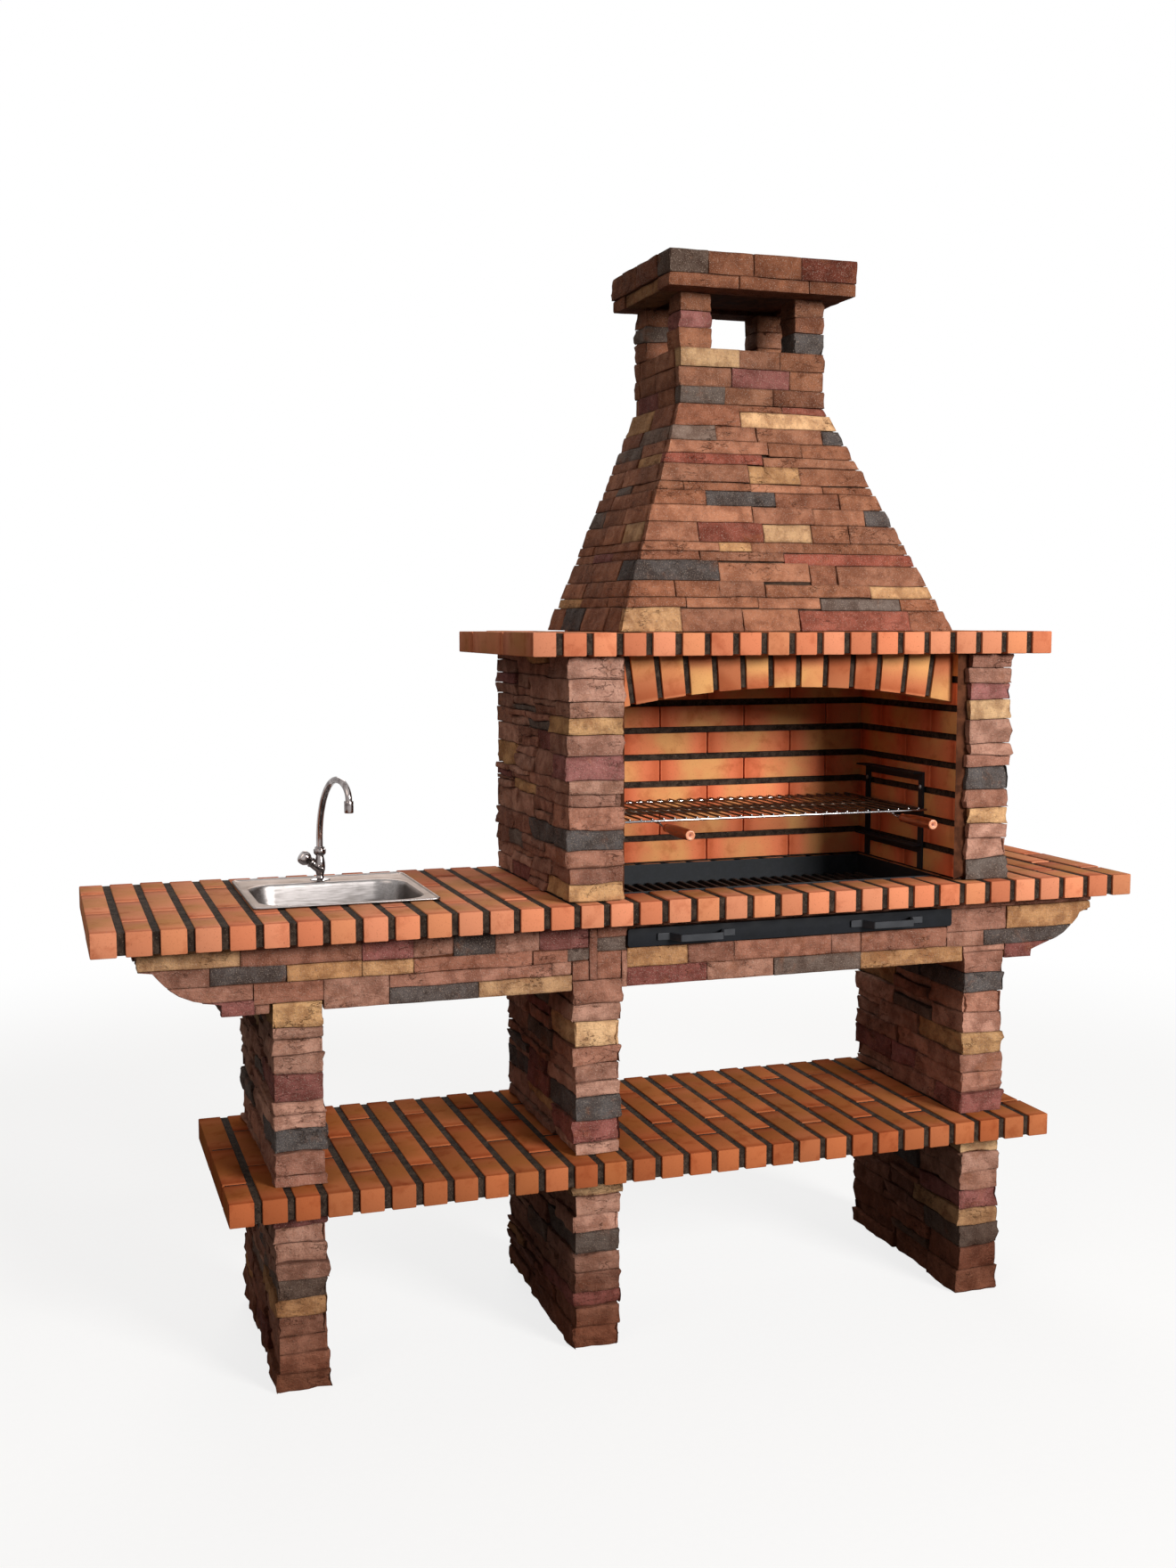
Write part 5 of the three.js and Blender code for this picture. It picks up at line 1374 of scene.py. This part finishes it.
# Grill: rods with domed ends, two handle wires and turned grips
grill = {
    "centre": 293, "front": -135, "back": 200, "bars": 28, "pitch": 24, "barZ": 1046.7, "barRadius": 2,
    "rodZ": 1042.8, "rodRadius": 2.5, "rodInset": 4, "length": 690, "brightEnd": 7.5,
    "grips": {"left": 31, "right": 555}, "gripEnd": -298, "gripZ": 1034, "endFace": 1.5, "stemRadius": 2,
    # the stem as places in y and z, and the grip as radius and length from its end
    "stem": [(-113, 1038), (-132, 1038), (-140, 1037.3), (-147, 1035), (-154, 1034.1), (-168, 1034),
             (-207, 1034)],
    "grip": [(0, 1.6), (4.4, 1.6), (5.4, 0.5), (6.4, 0), (8.4, 0), (9.7, 0.9), (10.2, 2.6), (10.0, 4.8),
             (9.3, 6), (9.8, 7.2), (10.6, 14), (11, 28), (11.1, 48), (10.9, 70), (10.2, 90), (9.0, 106),
             (7.8, 116), (7.2, 118.5), (8.2, 120), (8.6, 122.5), (8.2, 125.5), (7.2, 127), (6.6, 129.3),
             (5, 130), (2.4, 130), (2.4, 128), (0, 128)],
}


def domedRod(bm, start, end, radius, sides=12):
    axis = Vector(end) - Vector(start)
    dome = [(0, 0), (radius * 0.6, 0.25), (radius * 0.92, radius * 0.4), (radius, radius)]
    profile = dome + [(across, axis.length - along) for across, along in reversed(dome)]
    turn = Vector((0, 0, 1)).rotation_difference(axis.normalized()).to_matrix().to_4x4()
    spinProfile(bm, profile, sides, Matrix.Translation(start) @ turn)


def makeGrid():
    bm = bmesh.new()
    centre, front, back, half = grill["centre"], grill["front"], grill["back"], grill["length"] / 2
    for index in range(grill["bars"]):
        x = centre + (index - (grill["bars"] - 1) / 2) * grill["pitch"]
        domedRod(bm, (x, front, grill["barZ"]), (x, back, grill["barZ"]), grill["barRadius"])
    for y in (front + grill["rodInset"], (front + back) / 2, back - grill["rodInset"]):
        domedRod(bm, (centre - half, y, grill["rodZ"]), (centre + half, y, grill["rodZ"]), grill["rodRadius"])
    # the rods' middles carry the painted dark reflection, and only their ends keep bright chrome
    for face in bm.faces:
        y = face.calc_center_median().y
        face.material_index = int(y < front + grill["brightEnd"] or y > back - grill["brightEnd"])
    makePiece(bm, "grill", "grill_grid", [sootyWire, chrome], sharp=50)


def makeGrip(side, x):
    bm = bmesh.new()
    tubeAlong(bm, [(x, y, z) for y, z in grill["stem"]], grill["stemRadius"])
    makePiece(bm, "grill", side + "_handle_stem", [chrome], sharp=50)
    bm = bmesh.new()
    turn = Matrix.Translation((x, grill["gripEnd"], grill["gripZ"])) @ Matrix.Rotation(-math.pi / 2, 4, "X")
    spinProfile(bm, easeProfile(grill["grip"]), 40, turn)
    bmesh.ops.recalc_face_normals(bm, faces=bm.faces)
    for face in bm.faces:
        face.material_index = int(face.calc_center_median().y < grill["gripEnd"] + grill["endFace"])
    makePiece(bm, "grill", side + "_wooden_grip", [turnedWood, endWood], sharp=50)


makeGrid()
for side, x in grill["grips"].items():
    makeGrip(side, x)
print("fire set made")


# Sink: loops of rounded rectangles, bridged from the rim's edge down to the waste
sink = {
    "rim": (-767.8, -407.8, -107, 243), "mouth": (-747.8, -427.8, -85, 173), "waste": (-587.8, 44),
    "field": 905.8, "rimCorner": 14, "mouthCorner": 58, "sheet": 1.2, "cornerSteps": 9,
    # loops as inset and height over the field, and the waste's circles as radius and height
    "rimLoops": ((0, -1.4), (0, 0.9), (0.7, 2), (1.8, 2.5), (3.2, 2.5), (4.6, 1.8), (6, 0.3), (8, 0)),
    "bowlLoops": ((-5, 0), (-2, -0.2), (0, -1.2), (1.6, -4), (2.6, -9), (7, -62), (10, -95), (14, -109),
                  (21, -118), (31, -122.5), (50, -124.4)),
    "wasteLoops": ((60, -125.3), (30, -125.6), (22.5, -126.4)),
}


def roundedLoop(bm, rect, inset, corner, height):
    x0, x1, y0, y1 = rect[0] + inset, rect[1] - inset, rect[2] + inset, rect[3] - inset
    made = bmesh.ops.create_grid(bm, x_segments=1, y_segments=1, size=1)["verts"]
    for vert in made:
        vert.co = (x0 if vert.co.x < 0 else x1, y0 if vert.co.y < 0 else y1, height)
    out = bmesh.ops.bevel(bm, geom=made, offset=corner, segments=sink["cornerSteps"], profile=0.5,
                          affect="VERTICES", material=-1)
    faces = list({face for vert in out["verts"] for face in vert.link_faces})
    edges = list({edge for face in faces for edge in face.edges})
    bmesh.ops.delete(bm, geom=faces, context="FACES_ONLY")
    return edges


def circleLoop(bm, radius, height):
    count = 4 * (sink["cornerSteps"] + 1)
    turn = Matrix.Translation((*sink["waste"], height)) @ Matrix.Rotation(math.pi / count, 4, "Z")
    made = bmesh.ops.create_circle(bm, cap_ends=False, segments=count, radius=radius, matrix=turn)["verts"]
    return list({edge for vert in made for edge in vert.link_edges})


def makeSink():
    bm = bmesh.new()
    field = sink["field"]
    loops = [roundedLoop(bm, sink["rim"], inset, sink["rimCorner"] - inset * 0.6, field + up)
             for inset, up in sink["rimLoops"]]
    loops += [roundedLoop(bm, sink["mouth"], inset, sink["mouthCorner"] - inset * 0.45, field + up)
              for inset, up in sink["bowlLoops"]]
    loops += [circleLoop(bm, radius, field + up) for radius, up in sink["wasteLoops"]]
    for outer, inner in zip(loops, loops[1:]):
        bmesh.ops.bridge_loops(bm, edges=outer + inner)
    bmesh.ops.recalc_face_normals(bm, faces=bm.faces)
    if sum(face.normal.z for face in bm.faces if face.calc_center_median().z > field - 1) < 0:
        bmesh.ops.reverse_faces(bm, faces=bm.faces)
    piece = makePiece(bm, "stand", "sink_bowl", [stainless], sharp=60)
    wall = piece.modifiers.new("wall", "SOLIDIFY")
    wall.thickness = sink["sheet"] * mm
    wall.offset = -1


makeSink()


# Tap: turned body with a slanted valve arm, a lobed knob and a swan-neck spout
tap = {
    "axis": (-589.8, 207), "foot": 905.8, "tilt": 55, "belly": 24, "armLength": 25, "neck": 60, "turn": -76,
    "straight": 20, "rise": 135, "reach": 95, "dropReach": 52, "drop": 36, "tip": 11, "radius": 7,
    "share": 0.5523, "lobes": 6, "lobeDepth": 0.09, "lobeStart": 8, "lobeRun": 5, "lobeWidth": 0.7,
    # profiles as radius and height
    "column": [(0, -72), (5.6, -72), (6, -71.4), (6, 0.3), (9, 0.4), (9.2, 1.2), (9, 6), (7.8, 8), (7.6, 10),
               (9, 16), (10.8, 22), (11.2, 28), (11, 36), (9.6, 43), (8.4, 48), (8, 52), (8, 60), (0, 60)],
    "arm": [(0, -8), (10.4, -8), (11.4, 0), (10.8, 9), (9.8, 16), (9.8, 19.6), (10.8, 20.6), (10.8, 24),
            (10.2, 25), (0, 25)],
    "flange": [(9.3, 0.3), (19.5, 0.3), (21, 0.8), (20.8, 1.6), (17, 2.6), (12, 3.6), (10.4, 4), (9.3, 4),
               (9.3, 0.3)],
    "collar": [(8.4, -8.5), (9.6, -8.5), (11, -7), (12.6, -5), (13, -2.5), (13, 2.5), (12.4, 4), (10.6, 4.8),
               (10.2, 6.2), (10.6, 7.6), (9.8, 8.5), (8.4, 8.5), (8.4, -8.5)],
    "spindle": [(0, 13), (3.2, 13), (3.5, 13.4), (3.5, 36.6), (3.2, 37), (0, 37)],
    "knob": [(3.9, 1), (8.8, 1), (9.8, 1.6), (10.6, 3.4), (12.8, 6), (14.3, 9), (14.7, 13), (14.5, 18),
             (13, 22.4), (9.8, 25), (5.4, 26), (0, 26.2)],
    "aerator": [(7.2, 9), (8.8, 9), (9.5, 8.2), (9.5, 2.2), (8.9, 1.6), (9.5, 1), (9.5, -13.6), (9, -15),
                (6.6, -15), (6.4, -13), (0, -12.6)],
}


def makeTurned(body, node, parts):
    bm = bmesh.new()
    for profile, steps, matrix in parts:
        spinProfile(bm, profile, steps, matrix)
    makePiece(bm, body, node, [tapChrome], sharp=42)


def cubic(p0, p1, p2, p3, steps):
    points = []
    for index in range(1, steps + 1):
        t = index / steps
        weights = ((1 - t) ** 3, 3 * t * (1 - t) ** 2, 3 * t * t * (1 - t), t ** 3)
        points.append(tuple(sum(w * p[i] for w, p in zip(weights, (p0, p1, p2, p3))) for i in range(2)))
    return points


def makeKnob(place):
    bm = bmesh.new()
    for vert in spinProfile(bm, easeProfile(tap["knob"]), 72, Matrix()):
        amount = max(0, min(1, (math.hypot(vert.co.x, vert.co.y) - tap["lobeStart"]) / tap["lobeRun"]))
        angle = math.atan2(vert.co.y, vert.co.x)
        lobe = (0.5 - 0.5 * math.cos(tap["lobes"] * angle)) ** tap["lobeWidth"]
        factor = 1 - tap["lobeDepth"] * amount * lobe
        vert.co.x *= factor
        vert.co.y *= factor
    bmesh.ops.transform(bm, matrix=place, verts=bm.verts)
    makePiece(bm, "tap_knob", "tap_knob", [tapChrome], sharp=42)


# The spout's line in its own plane: straight up, over in a wide curve and down to the tip
def spoutLine():
    start, reach, share = tap["straight"], tap["reach"], tap["share"]
    top, far = start + tap["rise"], reach + tap["dropReach"]
    line = [(0, 0), (0, start * 0.5), (0, start)]
    line += cubic((0, start), (0, start + tap["rise"] * share), (reach * (1 - share), top), (reach, top), 22)
    line += cubic((reach, top), (reach + tap["dropReach"] * share, top),
                  (far, top - tap["drop"] * (1 - share)), (far, top - tap["drop"]), 16)
    return line + [(far, top - tap["drop"] - tap["tip"])]


def upFrom(place, height):
    return place @ Matrix.Translation((0, 0, height))


def makeTap():
    foot = Matrix.Translation((*tap["axis"], tap["foot"]))
    valve = upFrom(foot, tap["belly"]) @ Matrix.Rotation(math.radians(-tap["tilt"]), 4, "Y")
    makeTurned("stand", "tap_body", [(tap["column"], 40, foot), (easeProfile(tap["arm"]), 36, valve)])
    makeTurned("stand", "tap_base_flange", [(tap["flange"], 48, foot)])
    makeTurned("stand", "tap_collar_nut", [(tap["collar"], 32, upFrom(foot, tap["neck"]))])
    makeTurned("tap_knob", "tap_spindle", [(tap["spindle"], 16, valve)])
    makeKnob(upFrom(valve, tap["armLength"]))
    turn = upFrom(foot, tap["neck"] + 0.3) @ Matrix.Rotation(math.radians(tap["turn"]), 4, "Z")
    line = spoutLine()
    bm = bmesh.new()
    tubeAlong(bm, [tuple(turn @ Vector((x, 0, z))) for x, z in line], tap["radius"], 24)
    bmesh.ops.remove_doubles(bm, verts=bm.verts, dist=0.001)
    makePiece(bm, "tap_spout", "tap_spout", [tapChrome], sharp=50)
    outlet = turn @ Matrix.Translation((line[-1][0], 0, line[-1][1]))
    makeTurned("tap_spout", "tap_aerator", [(tap["aerator"], 36, outlet)])


makeTap()
print("sink and tap made")


# Floor, background and lamps
stage = {"size": 40, "floor": (244, 243, 241), "bounce": (92, 90, 87), "fadeStart": 2.2, "fadeEnd": 4.2,
         "paleness": 0.8, "world": (1.0, 0.94, 0.88, 1), "worldStrength": 0.155}
lamps = {
    "keyLamp": {"place": (2.9, -6.1, 3.1), "target": (0, 0, 1.2), "size": 2, "power": 590,
                "colour": (1, 0.985, 0.96)},
    "fillLamp": {"place": (-3.8, -2.8, 4.4), "target": (0, 0, 1.4), "size": 3, "power": 58,
                 "colour": (1, 0.87, 0.76)},
    "rearLamp": {"place": (0.6, 5.2, 4.6), "target": (0, 0, 1.2), "size": 3, "power": 150,
                 "colour": (1, 0.96, 0.92)},
}


# What the camera sees straight, in a reflection or through glass
def seenRays(tree):
    path = addNode(tree, "ShaderNodeLightPath").outputs
    seen = mathNode(tree, "ADD", path["Is Camera Ray"], path["Is Glossy Ray"], True)
    return mathNode(tree, "ADD", seen, path["Is Transmission Ray"], True)


def mixShader(tree, factor, first, second):
    return addNode(tree, "ShaderNodeMixShader", None, {"Fac": factor, 1: first, 2: second}).outputs[0]


def makeFloor():
    bm = bmesh.new()
    bmesh.ops.create_grid(bm, x_segments=1, y_segments=1, size=stage["size"])
    mesh = keepMesh(bm, "floor")
    addObject("floor", mesh)
    material = bpy.data.materials.new("paleFloor")
    material.use_nodes = True
    tree = material.node_tree
    tree.nodes.clear()
    place = objectPlace(tree)
    distance = addNode(tree, "ShaderNodeVectorMath", {"operation": "LENGTH"}, {0: place}).outputs["Value"]
    fade = ramp(tree, distance, stage["fadeStart"], stage["fadeEnd"])
    speck = ramp(tree, noiseMask(tree, place, 60, 4), 0.3, 0.7, 0.97, 1.0)
    colour = mixColour(tree, 1.0, paint(*stage["floor"]), speck, "MULTIPLY")
    lit = addNode(tree, "ShaderNodeBsdfDiffuse", None, {"Color": colour}).outputs[0]
    dull = addNode(tree, "ShaderNodeBsdfDiffuse", None, {"Color": paint(*stage["bounce"])}).outputs[0]
    glow = addNode(tree, "ShaderNodeEmission", None, {"Color": (1, 1, 1, 1), "Strength": 1.0}).outputs[0]
    seen = mixShader(tree, fade, mixShader(tree, stage["paleness"], lit, glow), glow)
    shown = mixShader(tree, seenRays(tree), dull, seen)
    addNode(tree, "ShaderNodeOutputMaterial", None, {"Surface": shown})
    mesh.materials.append(material)


def makeWorld():
    world = bpy.data.worlds.new("studio")
    scene.world = world
    world.use_nodes = True
    tree = world.node_tree
    tree.nodes.clear()
    dim, white = [addNode(tree, "ShaderNodeBackground", None,
                          {"Color": colour, "Strength": strength}).outputs[0]
                  for colour, strength in ((stage["world"], stage["worldStrength"]), ((1, 1, 1, 1), 1.0))]
    addNode(tree, "ShaderNodeOutputWorld", None, {"Surface": mixShader(tree, seenRays(tree), dim, white)})


def addLamp(name, look):
    data = bpy.data.lights.new(name, "AREA")
    data.shape = "RECTANGLE"
    data.size = look["size"]
    data.size_y = look["size"]
    data.energy = look["power"]
    data.color = look["colour"]
    lamp = addObject(name, data)
    lamp.location = look["place"]
    lamp.rotation_euler = (Vector(look["target"]) - Vector(look["place"])).to_track_quat("-Z", "Y").to_euler()


makeFloor()
makeWorld()
for name, look in lamps.items():
    addLamp(name, look)
print("stage set")

triangles = sum(len(polygon.vertices) - 2 for item in scene.objects
                if item.type == "MESH" and not item.hide_render for polygon in item.data.polygons)
print("triangles", triangles)
